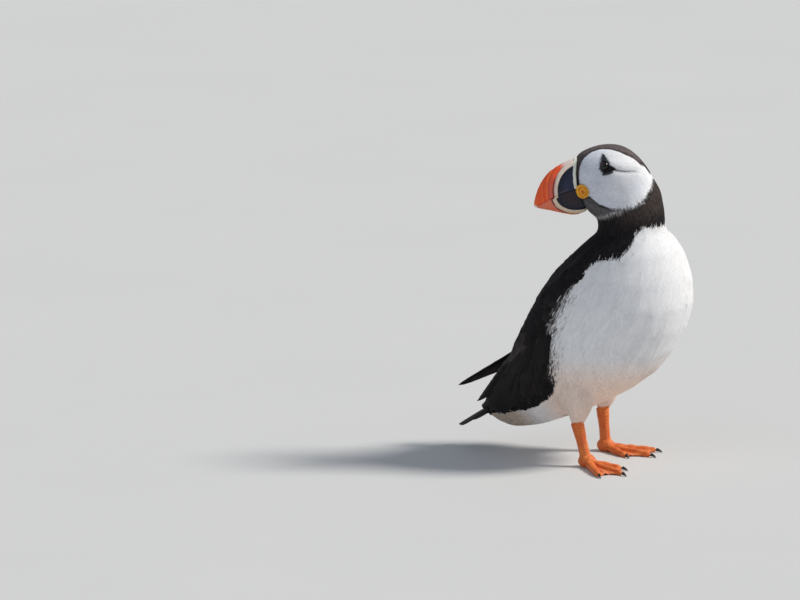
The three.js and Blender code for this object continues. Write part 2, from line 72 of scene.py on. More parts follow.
# The coat along the body's axis: a place, the length of its vanes and the depth of the coat.
# The first places are in the head's frame, from the bill back; the others run on to the tail.
HEAD_COAT = [
    ((3, 0, 2), 1.5, 0.5),
    ((-6, 0, 2), 2.0, 0.7),
    ((-16, 0, 1), 2.5, 0.8),
    ((-26, 0, -1), 3.0, 0.9),
    ((-33, 0, -8), 3.6, 1.1),
]
BODY_COAT = [
    ((21.5, 0, 170), 4.4, 1.4),
    ((22, 0, 157), 5.2, 1.7),
    ((18, 0, 141), 6.4, 2.0),
    ((12, 0, 122), 7.6, 2.3),
    ((5, 0, 104), 8.6, 2.4),
    ((-6, 0, 86), 9.2, 2.4),
    ((-20, 0, 70), 9.4, 2.4),
    ((-36, 0, 55), 9.4, 2.3),
    ((-54, 0, 41), 9.4, 2.1),
    ((-74, 0, 29), 9.0, 1.6),
    ((-96, 0, 18), 9.0, 1.4),
]
# Each row of the legs' own coat is a height, a length and a depth.
LEG_COAT = [(50, 6.4, 1.5), (43, 5.0, 1.1), (37, 3.6, 0.7), (32, 2.6, 0.45), (20, 2.2, 0.4)]
SHIN_NARROWS = 0.3  # how much thinner a shin gets inside its legging
BARE_TOP = {"right": 31.5, "left": 32.2}  # where the leggings end
REACH = 13  # how far along the axis each place tells, in mm

# Where the dark plumage ends, in the side view (forward, up), from the throat back to the tail.
DARK_EDGE = [
    (75, 152), (42, 155), (37.7, 156), (34.2, 152), (32, 144), (27, 137.6), (18, 135.8), (11, 134.5),
    (3, 126), (-1, 120), (-5, 112), (-9.5, 103), (-12.6, 94), (-14.7, 84), (-15.2, 74), (-14.6, 64),
    (-14.5, 54), (-17, 47), (-25, 41), (-36, 35), (-50, 30.5), (-64, 27), (-95, 22),
]
# The black cap's half width along the head, and the lower edge of the pale disc, (forward, value).
CAP_HALF = [
    (-47.5, 2), (-45.2, 8), (-40, 13.2), (-32.6, 12.6), (-25.9, 9.3), (-19.1, 6.6), (-12.8, 6.4),
    (-8.9, 7.2), (-5.4, 8), (-2.4, 8.6), (2, 9),
]
DISC_LOW = [
    (-47, -4.6), (-46, -5.5), (-41.2, -9.2), (-35.1, -13.2), (-27.6, -15.3), (-22.7, -14.6),
    (-14.7, -13.6), (-7.8, -8.8), (-4, -2.6), (2, 0),
]
CHIN_LOW = [(-30, -15.6), (-23.2, -16.4), (-13.8, -17.6), (-9.1, -19), (-4, -20), (2, -20)]
DISC_FRONT = [(-20, 4), (-3.3, 4), (0, 2.5), (9, 1), (13.4, -0.6), (17.8, -2.4), (22, -5.4)]  # (up, forward)
EYE_GROOVE = [(-20.6, 11.9), (-24.5, 9.4), (-28.6, 7.5), (-33, 6.1), (-38.4, 4.5)]  # (forward, up)

# The dark feathers round the eye, (forward, up), anticlockwise.
EYE_PATCH = [
    (-19.4, 21.9), (-20.4, 17.6), (-21.4, 13.9), (-24.2, 10.6), (-21.4, 9.6), (-18.2, 8.8), (-16.0, 8.9),
    (-14.4, 11.0), (-13.9, 13.6), (-16.0, 17.2), (-18.0, 20.0),
]

WHITE = (0.8, 0.8, 0.81)
# Pale grey of the face, made bluer and darker than its own grey as painted shade.
FACE_GREY_AND_SHADE = (0.6, 0.63, 0.71)
CHIN = (0.105, 0.098, 0.1)
CHIN_RIM = (0.38, 0.36, 0.35)
BLACK = (0.0095, 0.0085, 0.0095)
FLANK_BROWN = (0.05, 0.04, 0.037)
# Brownish grey of the cap's top: its own colour, lightened by a painted sheen.
CROWN_AND_SHEEN = (0.13, 0.108, 0.108)
NAPE = (0.042, 0.032, 0.029)
# Tan under the tail: its own tan, darkened by painted shade on the underside.
TAN_AND_SHADE = (0.5, 0.38, 0.28)
# Painted orange light reflected from the feet onto the lower belly.
FEET_REFLECTION = (0.82, 0.6, 0.46)
# Painted brown sheen along the folded long feathers of the wings.
BROWN_SHEEN = (0.058, 0.045, 0.041)
SHEEN_LINE = [(-38, 75), (-63, 49)]  # along the folded long feathers, (forward, up)
# Painted shade in the groove behind each eye.
GROOVE_SHADE = (0.09, 0.09, 0.1)
EYE_DARK = (0.012, 0.01, 0.013)

# ---- places and frames

sole = next(m for m in frame["record"]["mounts"] if m["name"] == "right_sole")["pos_m"]
ORIGIN = np.array([sole[0] / MM - HEEL["right"][1], sole[1] / MM + HEEL["right"][0], 0])
HEAD_AXES = np.array(Matrix.Rotation(HEAD_TURN, 3, "Z") @ Matrix.Rotation(HEAD_PITCH, 3, "X"))


def swapped(places):
    """x, y, z for (forward, left, up)."""
    places = np.asarray(places, float)
    return np.stack([places[..., 1], -places[..., 0], places[..., 2]], -1)


def unswapped(points):
    """(forward, left, up) for x, y, z."""
    return np.stack([-points[..., 1], points[..., 0], points[..., 2]], -1)


def in_body(places):
    """Metres in the frame for places on the body."""
    return (swapped(places) + ORIGIN) * MM


def on_body(points):
    """Places on the body for points in the frame."""
    return unswapped(np.asarray(points) / MM - ORIGIN)


def in_head(places):
    """Metres in the frame for places in the head's own frame."""
    return (swapped(places) @ HEAD_AXES.T + swapped(GAPE) + ORIGIN) * MM


def on_head(points):
    """Places in the head's own frame for points in the frame."""
    return unswapped((np.asarray(points) / MM - ORIGIN - swapped(GAPE)) @ HEAD_AXES)


def unit(vectors):
    return vectors / np.maximum(np.linalg.norm(vectors, axis=-1, keepdims=True), 1e-12)


def eased(low, high, values):
    """0 below low and 1 above high, with a smooth turn between."""
    t = np.clip((values - low) / (high - low), 0, 1)
    return t * t * (3 - 2 * t)


def bump_at(values, middle, width):
    """1 at the middle of a line of this half width, and near 0 beyond it."""
    return np.exp(-(((values - middle) / width) ** 2))


def along(table, values):
    """The value that a table of (place, value) gives at each of values."""
    table = sorted(table)
    return np.interp(values, [row[0] for row in table], [row[1] for row in table])


SAME_CORNER = 1e-6  # mm


def from_line(points, line):
    """How far 2-D points lie from a line of corners, and on which side: positive on its left.
    Where two stretches share the nearest corner, the one that the point is more beside tells the side."""
    points, line = np.asarray(points, float), np.asarray(line, float)
    nearest = np.full(len(points), np.inf)
    aside = np.zeros(len(points))
    for start, end in zip(line[:-1], line[1:]):
        step = end - start
        share = np.clip(((points - start) @ step) / (step @ step), 0, 1)
        off = points - start - share[:, None] * step
        away = np.linalg.norm(off, axis=1)
        turn = (step[0] * off[:, 1] - step[1] * off[:, 0]) / np.linalg.norm(step)
        same = np.abs(away - nearest) < SAME_CORNER
        better = np.where(same, np.abs(turn) > np.abs(aside), away < nearest)
        aside = np.where(better, turn, aside)
        nearest = np.minimum(nearest, away)
    return nearest * np.where(aside >= 0, 1, -1)


# ---- the lie of the coat


def coat_axis():
    """Arrays of places, of directions, and of vane lengths with coat depths, down the body and legs."""
    chains = [[(in_head(place), size) for place, *size in HEAD_COAT]]
    chains[0] += [(in_body(place), size) for place, *size in BODY_COAT]
    for ankle in ANKLE.values():
        chains.append([(in_body((*ankle, up)), size) for up, *size in LEG_COAT])
    lines = [np.array([place for place, _ in chain]) for chain in chains]
    ahead = [unit(np.gradient(line, axis=0)) for line in lines]
    sizes = np.array([size for chain in chains for _, size in chain])
    return np.concatenate(lines), np.concatenate(ahead), sizes


AXIS, AXIS_AHEAD, AXIS_SIZES = coat_axis()


def lie_at(points):
    """The way the coat runs, its vanes' length and its depth, at each point: metres throughout."""
    away = ((points[:, None, :] - AXIS[None]) ** 2).sum(-1) / (REACH * MM) ** 2 / 2
    near = np.exp(-(away - away.min(1, keepdims=True)))
    near /= near.sum(1, keepdims=True)
    sizes = near @ AXIS_SIZES * MM
    return unit(near @ AXIS_AHEAD), sizes[:, 0], sizes[:, 1]


WAVE_COUNT = 90
WAVE_LENGTHS = (3.5, 12)  # mm
WAVES = unit(CHANCE.normal(size=(WAVE_COUNT, 3))) * TURN
WAVES /= CHANCE.uniform(*WAVE_LENGTHS, (WAVE_COUNT, 1)) * MM
WAVE_STARTS = CHANCE.uniform(0, TURN, WAVE_COUNT)
STREAK = 5  # how far a streak runs along the coat, in mm


def streaks(points):
    """A smooth random number for each point, near 0, that hardly changes along the lie of the coat."""
    steep = lie_at(points)[0] @ WAVES.T * STREAK * MM
    share = np.exp(-(steep**2) / 2)
    return (np.cos(points @ WAVES.T + WAVE_STARTS) * share).sum(1) / np.sqrt((share**2).sum(1) / 2)


# ---- markings


def disc_edge(points):
    """How far inside the pale disc of the face each point is, in mm, on either side of the head."""
    forward, lateral, up = on_head(points).T
    above = up - along(DISC_LOW, forward)
    beside = np.abs(lateral) - along(CAP_HALF, forward)
    behind_bill = along(DISC_FRONT, up) - forward
    return np.minimum.reduce([above, beside, behind_bill])


def groove_gap(points):
    """How far each point is from the groove behind the eye, in mm, and above or below it."""
    forward, _, up = on_head(points).T
    return from_line(np.stack([forward, up], 1), EYE_GROOVE)


def dark_edge(points):
    """How far outside the dark plumage of the body each point is, in mm."""
    forward, _, up = on_body(points).T
    return from_line(np.stack([forward, up], 1), DARK_EDGE)


def mixed(a, b, share):
    """Colour a, and colour b where the share is 1."""
    share = np.asarray(share)[:, None]
    return np.asarray(a) * (1 - share) + np.asarray(b) * share


def layered(colour, *layers):
    """A colour with other colours laid over it in turn, each by its own share."""
    for other, share in layers:
        colour = mixed(colour, other, share)
    return colour


def markings(points, ragged=0.0):
    """The plumage's colour at each point. ragged moves each edge by so many deviations of its raggedness."""
    body, head = on_body(points), on_head(points)
    ahead, beside, height = body.T
    forward, lateral, up = head.T
    flank = eased(122, 104, height) * eased(50, 66, height)
    edge, soft = dark_edge(points), 0.7 + 3.7 * flank
    white = eased(-soft, soft, edge + ragged * (0.45 + 1.95 * flank))
    # painted brown sheen along the folded long feathers, on the sides only
    wear_and_sheen = bump_at(from_line(body[:, ::2], SHEEN_LINE), 0, 5) * (np.abs(beside) > 12)
    above_rim = up - along(CHIN_LOW, forward) + 0.3 * ragged
    on_chin = eased(3, -1, forward) * eased(-31, -24, forward) * (up < 2)
    inside = disc_edge(points)
    disc = eased(-0.35, 0.35, inside + 0.1 * ragged)
    # the disc greys towards the bill, partly its own grey and partly painted shade; the darker lower cheek
    # is painted shade
    cheek = np.exp(-(((forward + 33) / 6) ** 2 + ((up + 4) / 6) ** 2) / 2)
    pale = layered(FACE_GREY_AND_SHADE, (WHITE, eased(-10, -30, forward) * 0.9 + 0.1), (FACE_GREY_AND_SHADE, 0.5 * cheek))
    eye_patch = eased(-0.4, 0.4, from_line(head[:, ::2], EYE_PATCH + EYE_PATCH[:1]))
    return layered(
        BLACK,
        (FLANK_BROWN, flank * eased(-8, 0, edge)),
        # painted brown sheen along the folded wings
        (BROWN_SHEEN, wear_and_sheen),
        (NAPE, eased(-34, -20, up) * eased(8, 26, -forward)),
        # the cap's top in brownish grey: its own colour, with painted sheen
        (CROWN_AND_SHEEN, 0.85 * eased(2, 12, up) * eased(6, -6, forward)),
        (WHITE, white),
        # tan under the tail, darkened by painted shade on the underside
        (TAN_AND_SHADE, 0.85 * eased(-34, -52, ahead) * eased(60, 40, height) * white),
        # painted orange light reflected from the feet onto the lower belly
        (FEET_REFLECTION, 0.7 * eased(78, 50, height) * eased(-34, -14, ahead) * white),
        (CHIN, eased(-0.3, 0.3, above_rim) * on_chin),
        (CHIN_RIM, bump_at(above_rim, 0.9, 0.8) * on_chin),
        (BLACK, 0.75 * bump_at(inside, -1.1, 0.8) * eased(5, 1, forward)),
        (pale, disc),
        # painted shade along the groove behind the eye
        (GROOVE_SHADE, 0.85 * bump_at(groove_gap(points), 0, 0.6) * eased(-39.5, -33, forward) * disc),
        (EYE_DARK, eye_patch * (np.abs(lateral) > 6)),
    )


# ---- meshes


def placed(name, data):
    """A new object in the scene."""
    made = bpy.data.objects.new(name, data)
    bpy.context.scene.collection.objects.link(made)
    return made


def attach(name, mesh, node_names, slot, *materials):
    """A finished piece that rides on the bird and stands for its solids."""
    mesh.polygons.foreach_set("use_smooth", np.ones(len(mesh.polygons), bool))
    for material in materials:
        mesh.materials.append(material)
    piece = placed(name, mesh)
    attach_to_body(piece, "root")
    if node_names:
        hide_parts(*node_names)
    return piece


def mesh_of(shape, name):
    """The mesh of a bmesh, which it uses up."""
    mesh = bpy.data.meshes.new(name)
    shape.to_mesh(mesh)
    shape.free()
    return mesh


def joined(shapes, name):
    """One mesh of several bmeshes, which it uses up."""
    whole = bmesh.new()
    for shape in shapes:
        part = mesh_of(shape, "part")
        whole.from_mesh(part)
        bpy.data.meshes.remove(part)
    return mesh_of(whole, name)


def evaluated(mesh, kind, **settings):
    """The mesh after one modifier."""
    holder = placed("holder", mesh)
    modifier = holder.modifiers.new(kind, kind)
    for key, value in settings.items():
        setattr(modifier, key, value)
    bpy.context.view_layer.update()
    result = bpy.data.meshes.new_from_object(holder.evaluated_get(bpy.context.evaluated_depsgraph_get()))
    bpy.data.objects.remove(holder)
    return result


def merged(growths):
    """One mesh of clean copies of solids, each grown along its normals by its own millimetres."""
    copies = []
    for node, grow in growths.items():
        copy = bmesh.new()
        copy.from_mesh(NODES[node].data)
        bmesh.ops.remove_doubles(copy, verts=copy.verts, dist=0.001 * MM)
        copy.normal_update()
        for vert in copy.verts:
            vert.co += vert.normal * grow * MM
        copies.append(copy)
    return joined(copies, "merged")


def remeshed(mesh, voxel, passes):
    """The mesh as even small faces, with its creases smoothed by so many passes."""
    even = evaluated(mesh, "REMESH", mode="VOXEL", voxel_size=voxel * MM)
    shape = bmesh.new()
    shape.from_mesh(even)
    axes = {"use_axis_x": True, "use_axis_y": True, "use_axis_z": True}
    for _ in range(passes):
        bmesh.ops.smooth_vert(shape, verts=shape.verts, factor=0.5, **axes)
    shape.to_mesh(even)
    shape.free()
    return even


def numbers(items, key, width, kind=float):
    """One property of each item of a mesh, in rows of so many numbers."""
    found = np.empty(len(items) * width, kind)
    items.foreach_get(key, found)
    return found.reshape(-1, width)


def points_of(mesh):
    return numbers(mesh.vertices, "co", 3)


def normals_of(mesh):
    return numbers(mesh.vertices, "normal", 3)


def move_points(mesh, points):
    mesh.vertices.foreach_set("co", points.ravel())
    mesh.update()


def paint(mesh, name, colours):
    """A colour for each point, under a name that materials read."""
    layer = mesh.color_attributes.new(name, "FLOAT_COLOR", "POINT")
    layer.data.foreach_set("color", np.column_stack([colours, np.ones(len(colours))]).ravel())


def weigh(mesh, name, values):
    """A number for each point, under a name that materials read."""
    layer = mesh.attributes.new(name, "FLOAT", "POINT")
    layer.data.foreach_set("value", np.asarray(values, np.float32))


# ---- shader maths


class Wire:
    """A socket of a material's nodes that sums, differences and products can be written with."""

    def __init__(self, tree, socket):
        self.tree = tree
        self.socket = socket

    def node(self, kind, settings, inputs, output=0):
        """A new node: its settings are set first, then its sockets' values or links."""
        made = self.tree.nodes.new(kind)
        for key, value in settings.items():
            setattr(made, key, value)
        for key, value in inputs.items():
            if isinstance(value, Wire):
                self.tree.links.new(value.socket, made.inputs[key])
            else:
                made.inputs[key].default_value = value
        return Wire(self.tree, made.outputs[output])

    def math(self, operation, *values):
        return self.node("ShaderNodeMath", {"operation": operation}, dict(enumerate(values)))

    def __add__(self, other):
        return self.math("ADD", self, other)

    def __sub__(self, other):
        return self.math("SUBTRACT", self, other)

    def __mul__(self, other):
        return self.math("MULTIPLY", self, other)

    def __rsub__(self, other):
        return self.math("SUBTRACT", other, self)

    __radd__ = __add__
    __rmul__ = __mul__

    def size(self):
        return self.math("ABSOLUTE", self)

    def wave(self):
        return self.math("SINE", self)

    def between(self, low, high):
        """0 below low, 1 above high, and a smooth turn between."""
        settings = {"interpolation_type": "SMOOTHSTEP"}
        return self.node("ShaderNodeMapRange", settings, {0: self, 1: low, 2: high, 3: 0, 4: 1})

    def blend(self, a, b):
        """Colour a, and colour b where this wire is 1."""
        a, b = (c if isinstance(c, Wire) else (*c, 1) for c in (a, b))
        return self.node("ShaderNodeMix", {"data_type": "RGBA"}, {0: self, 6: a, 7: b}, 2)

    def scaled(self, colour):
        """A colour made darker or lighter by this wire."""
        settings = {"data_type": "RGBA", "blend_type": "MULTIPLY"}
        grey = self.node("ShaderNodeCombineColor", {}, {0: self, 1: self, 2: self})
        return self.node("ShaderNodeMix", settings, {0: 1, 6: colour, 7: grey}, 2)

    def noise(self, scale, detail=3, roughness=0.55):
        """Noise over the object, with features about 1 / scale metres across."""
        inputs = {"Vector": self.place(), "Scale": scale, "Detail": detail, "Roughness": roughness}
        return self.node("ShaderNodeTexNoise", {}, inputs)

    def place(self):
        """The object's own coordinates."""
        return self.node("ShaderNodeTexCoord", {}, {}, 3)

    def attribute(self, name, output=0):
        """A painted colour (output 0) or a weighed number (output 2) of the mesh."""
        return self.node("ShaderNodeAttribute", {"attribute_name": name}, {}, output)

    def vane(self):
        """Across a vane from 0 to 1, along it from root to tip, and away from its shaft to 0.5."""
        place = self.node("ShaderNodeUVMap", {"uv_map": "vane"}, {})
        across, length = (self.node("ShaderNodeSeparateXYZ", {}, {0: place}, way) for way in (0, 1))
        return across, length, (across - 0.5).size()

    def bumped(self, height, depth, strength=1.0):
        """A normal that stands for a relief of so many mm."""
        inputs = {"Height": height, "Distance": depth * MM, "Strength": strength}
        return self.node("ShaderNodeBump", {}, inputs)


def finish(name, looks, **even):
    """A material: even is the same all over, and looks(wire) gives the colour, the roughness and the
    normal, or None for one that is the same all over too."""
    material = bpy.data.materials.new(name)
    material.use_nodes = True
    shader = material.node_tree.nodes["Principled BSDF"]
    for key, value in even.items():
        shader.inputs[key.replace("_", " ")].default_value = value
    wires = looks(Wire(material.node_tree, None))
    for key, wire in zip(("Base Color", "Roughness", "Normal"), wires):
        if wire:
            material.node_tree.links.new(wire.socket, shader.inputs[key])
    return material


def skin_looks(wire):
    """Plumage seen between the vanes."""
    fibres = wire.noise(900, 4, 0.6)
    return (0.78 + 0.3 * fibres).scaled(wire.attribute("plumage")), None, wire.bumped(fibres, 0.4)


def vane_looks(wire):
    """A small feather: darker at its root as painted shade, with fine barbs."""
    _, length, off_shaft = wire.vane()
    barbs = (length * 70 - off_shaft * 30).wave()
    grain = wire.noise(1400, 2, 0.6)
    # the darker root is painted shade under the overlapping feathers
    shade = (0.9 + 0.1 * length.between(0.0, 0.7)) * (0.95 + 0.1 * grain) * (0.985 + 0.015 * barbs)
    return shade.scaled(wire.attribute("plumage")), None, wire.bumped(grain, 0.03)


def broad_looks(wire):
    """A larger feather of the back or wing, with a brownish tip from wear."""
    _, length, off_shaft = wire.vane()
    barbs = (length * 300 - off_shaft * 110).wave()
    wear_and_sheen = length.between(0.78, 1.0) * wire.noise(200, 3).between(0.35, 0.7)
    colour = (0.35 * wear_and_sheen).blend(wire.attribute("plumage"), (0.06, 0.047, 0.042))
    grain = wire.noise(1100, 2)
    return (0.75 + 0.35 * grain).scaled(colour), 0.6 + 0.2 * grain, wire.bumped(barbs, 0.02)


def quill_looks(wire):
    """A flight feather: a pale brown painted sheen on one web, dark barbs, and a glossy shaft."""
    across, length, off_shaft = wire.vane()
    barbs = (length * 1100 - off_shaft * 160).wave()
    # painted sheen: a pale brown over one web
    web_sheen = across.between(0.35, 0.95) * length.between(0.1, 0.6)
    grain = wire.noise(500, 4)
    colour = (web_sheen * grain.between(0.3, 0.7)).blend((0.018, 0.014, 0.013), (0.085, 0.066, 0.055))
    shaft = off_shaft.between(0.05, 0.02)
    colour = (0.6 * shaft).blend(colour, (0.05, 0.035, 0.028))
    return (0.92 + 0.05 * barbs).scaled(colour), 0.52 - 0.2 * shaft, wire.bumped(barbs, 0.05)


def leather_looks(wire):
    """Orange leg skin: small scales with darker creases, and thinner, pinker webs."""
    inputs = {"Vector": wire.place(), "Scale": 900, "Randomness": 0.85}
    cells = wire.node("ShaderNodeTexVoronoi", {"feature": "DISTANCE_TO_EDGE"}, inputs)
    crease = cells.between(0.12, 0.0)
    web = wire.attribute("web", 2)
    patch = wire.noise(160, 4)
    colour = patch.between(0.3, 0.72).blend((0.74, 0.14, 0.018), (0.87, 0.25, 0.05))
    colour = (0.6 * web).blend(colour, (0.86, 0.27, 0.12))
    colour = (0.45 * crease).blend(colour, (0.5, 0.075, 0.01))
    colour = (0.5 * wire.attribute("scute", 2)).blend(colour, (0.5, 0.075, 0.01))
    height = cells.between(0.0, 0.22) + 0.4 * wire.noise(1300, 3)
    return colour, 0.38 + 0.25 * patch, wire.bumped(height, 0.18, 0.8)


def horn_looks(low, high):
    """Plain horn or bare skin, clouded between two colours."""

    def looks(wire):
        grain = wire.noise(240, 5, 0.6)
        fine = wire.noise(1500, 3, 0.6)
        colour = (grain.between(0.3, 0.7) * 0.6 + 0.2).blend(low, high)
        shaded = (0.86 + 0.28 * fine).scaled(colour)
        return shaded, 0.26 + 0.24 * grain, wire.bumped(fine + grain, 0.08)

    return looks


def painted_horn_looks(wire):
    """Bill horn in the colours painted on it: clouded, finely scratched and a little scuffed."""
    cloud = wire.noise(150, 4, 0.6)
    fine = wire.noise(1300, 3, 0.6)
    pits = wire.noise(520, 5, 0.65)
    colour = ((0.86 + 0.28 * cloud) * (0.94 + 0.12 * fine)).scaled(wire.attribute("horn"))
    return colour, 0.34 + 0.3 * pits, wire.bumped(fine + pits, 0.06)


def eye_looks(wire):
    """A dark brown iris round a black pupil."""
    iris = wire.noise(1800, 3).blend((0.008, 0.004, 0.004), (0.018, 0.007, 0.006))
    pupil = wire.attribute("off_axis", 2).between(0.5, 0.42)
    return pupil.blend(iris, (0.002, 0.002, 0.002)), None, None


def floor_looks(wire):
    """Pale matt ground."""
    return wire.noise(6, 3).blend((0.6, 0.6, 0.6), (0.63, 0.63, 0.625)), None, None


PLUMAGE = finish("plumage_ground", skin_looks, Roughness=0.85)
VANES = finish("small_feathers", vane_looks, Roughness=0.8, Specular_IOR_Level=0.12)
BROAD = finish("back_feathers", broad_looks, Specular_IOR_Level=0.12)
QUILLS = finish("flight_feathers", quill_looks, Specular_IOR_Level=0.2)
LEATHER = finish("leg_leather", leather_looks, Subsurface_Weight=0.06, Subsurface_Scale=0.002)
RED_HORN, SLATE_HORN, CREAM_HORN, ROSETTE = (
    finish(name, painted_horn_looks, Specular_IOR_Level=gloss)
    for name, gloss in (("red_horn", 0.3), ("slate_horn", 0.25), ("cream_horn", 0.35), ("rosette_skin", 0.4))
)
EYE_HORN = finish("eye_horn", horn_looks((0.01, 0.009, 0.012), (0.026, 0.025, 0.033)))
LID_SKIN = finish("lid_skin", horn_looks((0.012, 0.007, 0.008), (0.032, 0.013, 0.013)))
CLAW_HORN = finish("claw_horn", horn_looks((0.012, 0.009, 0.008), (0.04, 0.028, 0.02)))
EYE = finish("eye", eye_looks, Roughness=0.12, Coat_Weight=0.25, Coat_Roughness=0.02, Specular_IOR_Level=0.3)
FLOOR = finish("pale_ground", floor_looks, Roughness=0.8)

# ---- the skin


TOE_REACH = 42  # no part of a foot is farther from its heel, in mm
FOOT_TOP = 7  # nor higher
TOE_HALF, SHIN_HALF = 2.2, 6  # half the width that scutes are on
TOE_RING, SHIN_RING = 1.7, 2.3  # from one scute to the next, in mm
FOLD_HEIGHT, WEB_RISE = 0.42, 0.35  # of the webs
FOOT_BARE, SHIN_BARE = 8.5, 9  # no feathers below this height, nor as near as this to a shin


def on_side(places, side):
    """Which places are on one side of the bird."""
    return np.sign(places[:, 1]) == SIDES[side]


def rings(along_it, step):
    """1 at the middle of each scute of a row, and 0 between two."""
    return 0.5 + 0.5 * np.cos(TURN * along_it / step)


def toe_heading(side, spread):
    """The way a toe points, as (forward, left)."""
    heading = math.radians(SIDES[side] * (TOE_OUT[side] - spread))
    return np.array([math.cos(heading), math.sin(heading)])


def foot_relief(points):
    """Toe scutes and web folds of both feet: the points moved, and what is scute and what is web."""
    places = on_body(points)
    height = places[:, 2]
    scute, web = np.zeros((2, len(points)))
    for side in SIDES:
        flat = places[:, :2] - HEEL[side]
        reach = np.linalg.norm(flat, axis=1)
        here = (reach < TOE_REACH) & (height < FOOT_TOP) & on_side(places, side)
        off_toe = np.full(len(points), np.inf)
        for length, spread in TOES.values():
            ahead = toe_heading(side, spread)
            run = flat @ ahead
            beside = np.abs(flat @ np.array([-ahead[1], ahead[0]]))
            on_toe = here & (run > 1) & (run < length + 1)
            off_toe = np.where(on_toe, np.minimum(off_toe, beside), off_toe)
            top = eased(1.6, 2.6, height) * (beside < TOE_HALF)
            scute = np.where(on_toe, np.maximum(scute, top * rings(run, TOE_RING) ** 6), scute)
        webbed = here * eased(2.2, 4.2, off_toe) * eased(7, 13, reach)
        heading = np.arctan2(flat[:, 1], flat[:, 0]) - math.radians(SIDES[side] * TOE_OUT[side])
        fold = np.sin(heading * 26 + 0.11 * reach) + 0.5 * np.sin(heading * 47 - 0.2 * reach + 1.3)
        height += webbed * eased(8, 26, reach) * (FOLD_HEIGHT * fold + WEB_RISE)
        web = np.maximum(web, webbed)
    shin = eased(8, 11, height) * eased(31, 28, height)
    for side in SIDES:
        heights, leans = [4, ANKLE_UP], [HEEL[side][0], ANKLE[side][0]]
        front = eased(1.0, 2.4, places[:, 0] - np.interp(height, heights, leans))
        near = np.abs(places[:, 1] - HEEL[side][1]) < SHIN_HALF
        scute = np.maximum(scute, shin * front * near * rings(height, SHIN_RING) ** 8)
        middle = leg_axis(side, height)
        narrower = SHIN_NARROWS * (eased(29, 34, height) * on_side(places, side))[:, None]
        places[:, :2] = places[:, :2] * (1 - narrower) + middle * narrower
    return in_body(places), scute, web


def plumage_relief(points):
    """The folds of the face: the groove behind each eye and the fuller cheek above it."""
    gap = groove_gap(points)
    forward, lateral, up = on_head(points).T
    here = eased(-41, -37.5, forward) * eased(-19, -21.5, forward) * (np.abs(lateral) > 9) * (up > -20)
    return here * (0.45 * bump_at(gap, -3.4, 2.4) - 0.55 * bump_at(gap, 0, 1.3))


def leg_axis(side, up):
    """The middle of a leg at each height, as (forward, left)."""
    share = np.clip(up / ANKLE_UP, 0, 1)[:, None]
    return np.array(HEEL[side]) * (1 - share) + np.array(ANKLE[side]) * share


def on_bare_leg(points):
    """Which points are on the scaly feet and shins, below the leggings."""
    places = on_body(points)
    bare = places[:, 2] < FOOT_BARE
    for side in SIDES:
        off = np.linalg.norm(places[:, :2] - leg_axis(side, places[:, 2]), axis=1)
        bare |= (off < SHIN_BARE) & (places[:, 2] < BARE_TOP[side]) & on_side(places, side)
    return bare


# The sides of the small faces that the skin is made of, in mm, and how often they are smoothed.
BODY_VOXEL, BODY_PASSES = 1.2, 22
LEG_VOXEL, LEG_PASSES = 0.42, 2
# How far each solid under the skin is grown, in mm.
FEATHERED_GROW, BARE_GROW = 0.35, 0.2
LEG_TOP_GROW = 0.8  # so that a legging holds its shape round the leg's top
SOCKET_GROW = -0.8  # so that each socket is filled under its eyeball
SCUTE_DEPTH = 0.12


def make_skin():
    """One skin over the whole bird, from the bill and eyes down to the soles."""
    feathered = ["trunk", "neck", "head"]
    feathered += [f"{part}_{side}" for side in SIDES for part in ("wing", "shank")]
    bare = [f"{part}_{side}" for side in SIDES for part in ("tarsus", "foot")]
    growths = dict.fromkeys(feathered, FEATHERED_GROW)
    for part, grow in (("tarsus", LEG_TOP_GROW), ("eye", SOCKET_GROW)):
        growths |= {f"{part}_{side}": grow for side in SIDES}
    body = remeshed(merged(growths), BODY_VOXEL, BODY_PASSES)
    points, normals = points_of(body), normals_of(body)
    depth = lie_at(points)[2] / MM
    move_points(body, points - normals * (depth - plumage_relief(points))[:, None] * MM)
    legs = remeshed(merged(dict.fromkeys(bare, BARE_GROW)), LEG_VOXEL, LEG_PASSES)
    points, scute, web = foot_relief(points_of(legs))
    points = points - SCUTE_DEPTH * scute[:, None] * normals_of(legs) * MM
    points[:, 2] = np.maximum(points[:, 2], 0)
    weigh(legs, "scute", scute)
    weigh(legs, "web", web)
    move_points(legs, points)
    holder = placed("legs", legs)
    mesh = evaluated(body, "BOOLEAN", operation="UNION", solver="MANIFOLD", object=holder)
    bpy.data.objects.remove(holder)
    mesh.materials.clear()
    bare_faces = on_bare_leg(numbers(mesh.polygons, "center", 3))
    mesh.polygons.foreach_set("material_index", bare_faces.astype(np.int32))
    paint(mesh, "plumage", markings(points_of(mesh)))
    skin = attach("skin", mesh, feathered + bare, "white_plumage", PLUMAGE, LEATHER)
    unwrap(skin)
    return skin


def unwrap(piece):
    """The piece's own surface laid flat, as a map of its own."""
    piece.data.uv_layers.new(name="OFBake")
    bpy.context.view_layer.objects.active = piece
    bpy.ops.object.mode_set(mode="EDIT")
    bpy.ops.mesh.select_all(action="SELECT")
    bpy.ops.uv.smart_project(angle_limit=math.radians(66), island_margin=0.001)
    bpy.ops.object.mode_set(mode="OBJECT")


TRIES = 2.2  # places tried for each square of the spacing


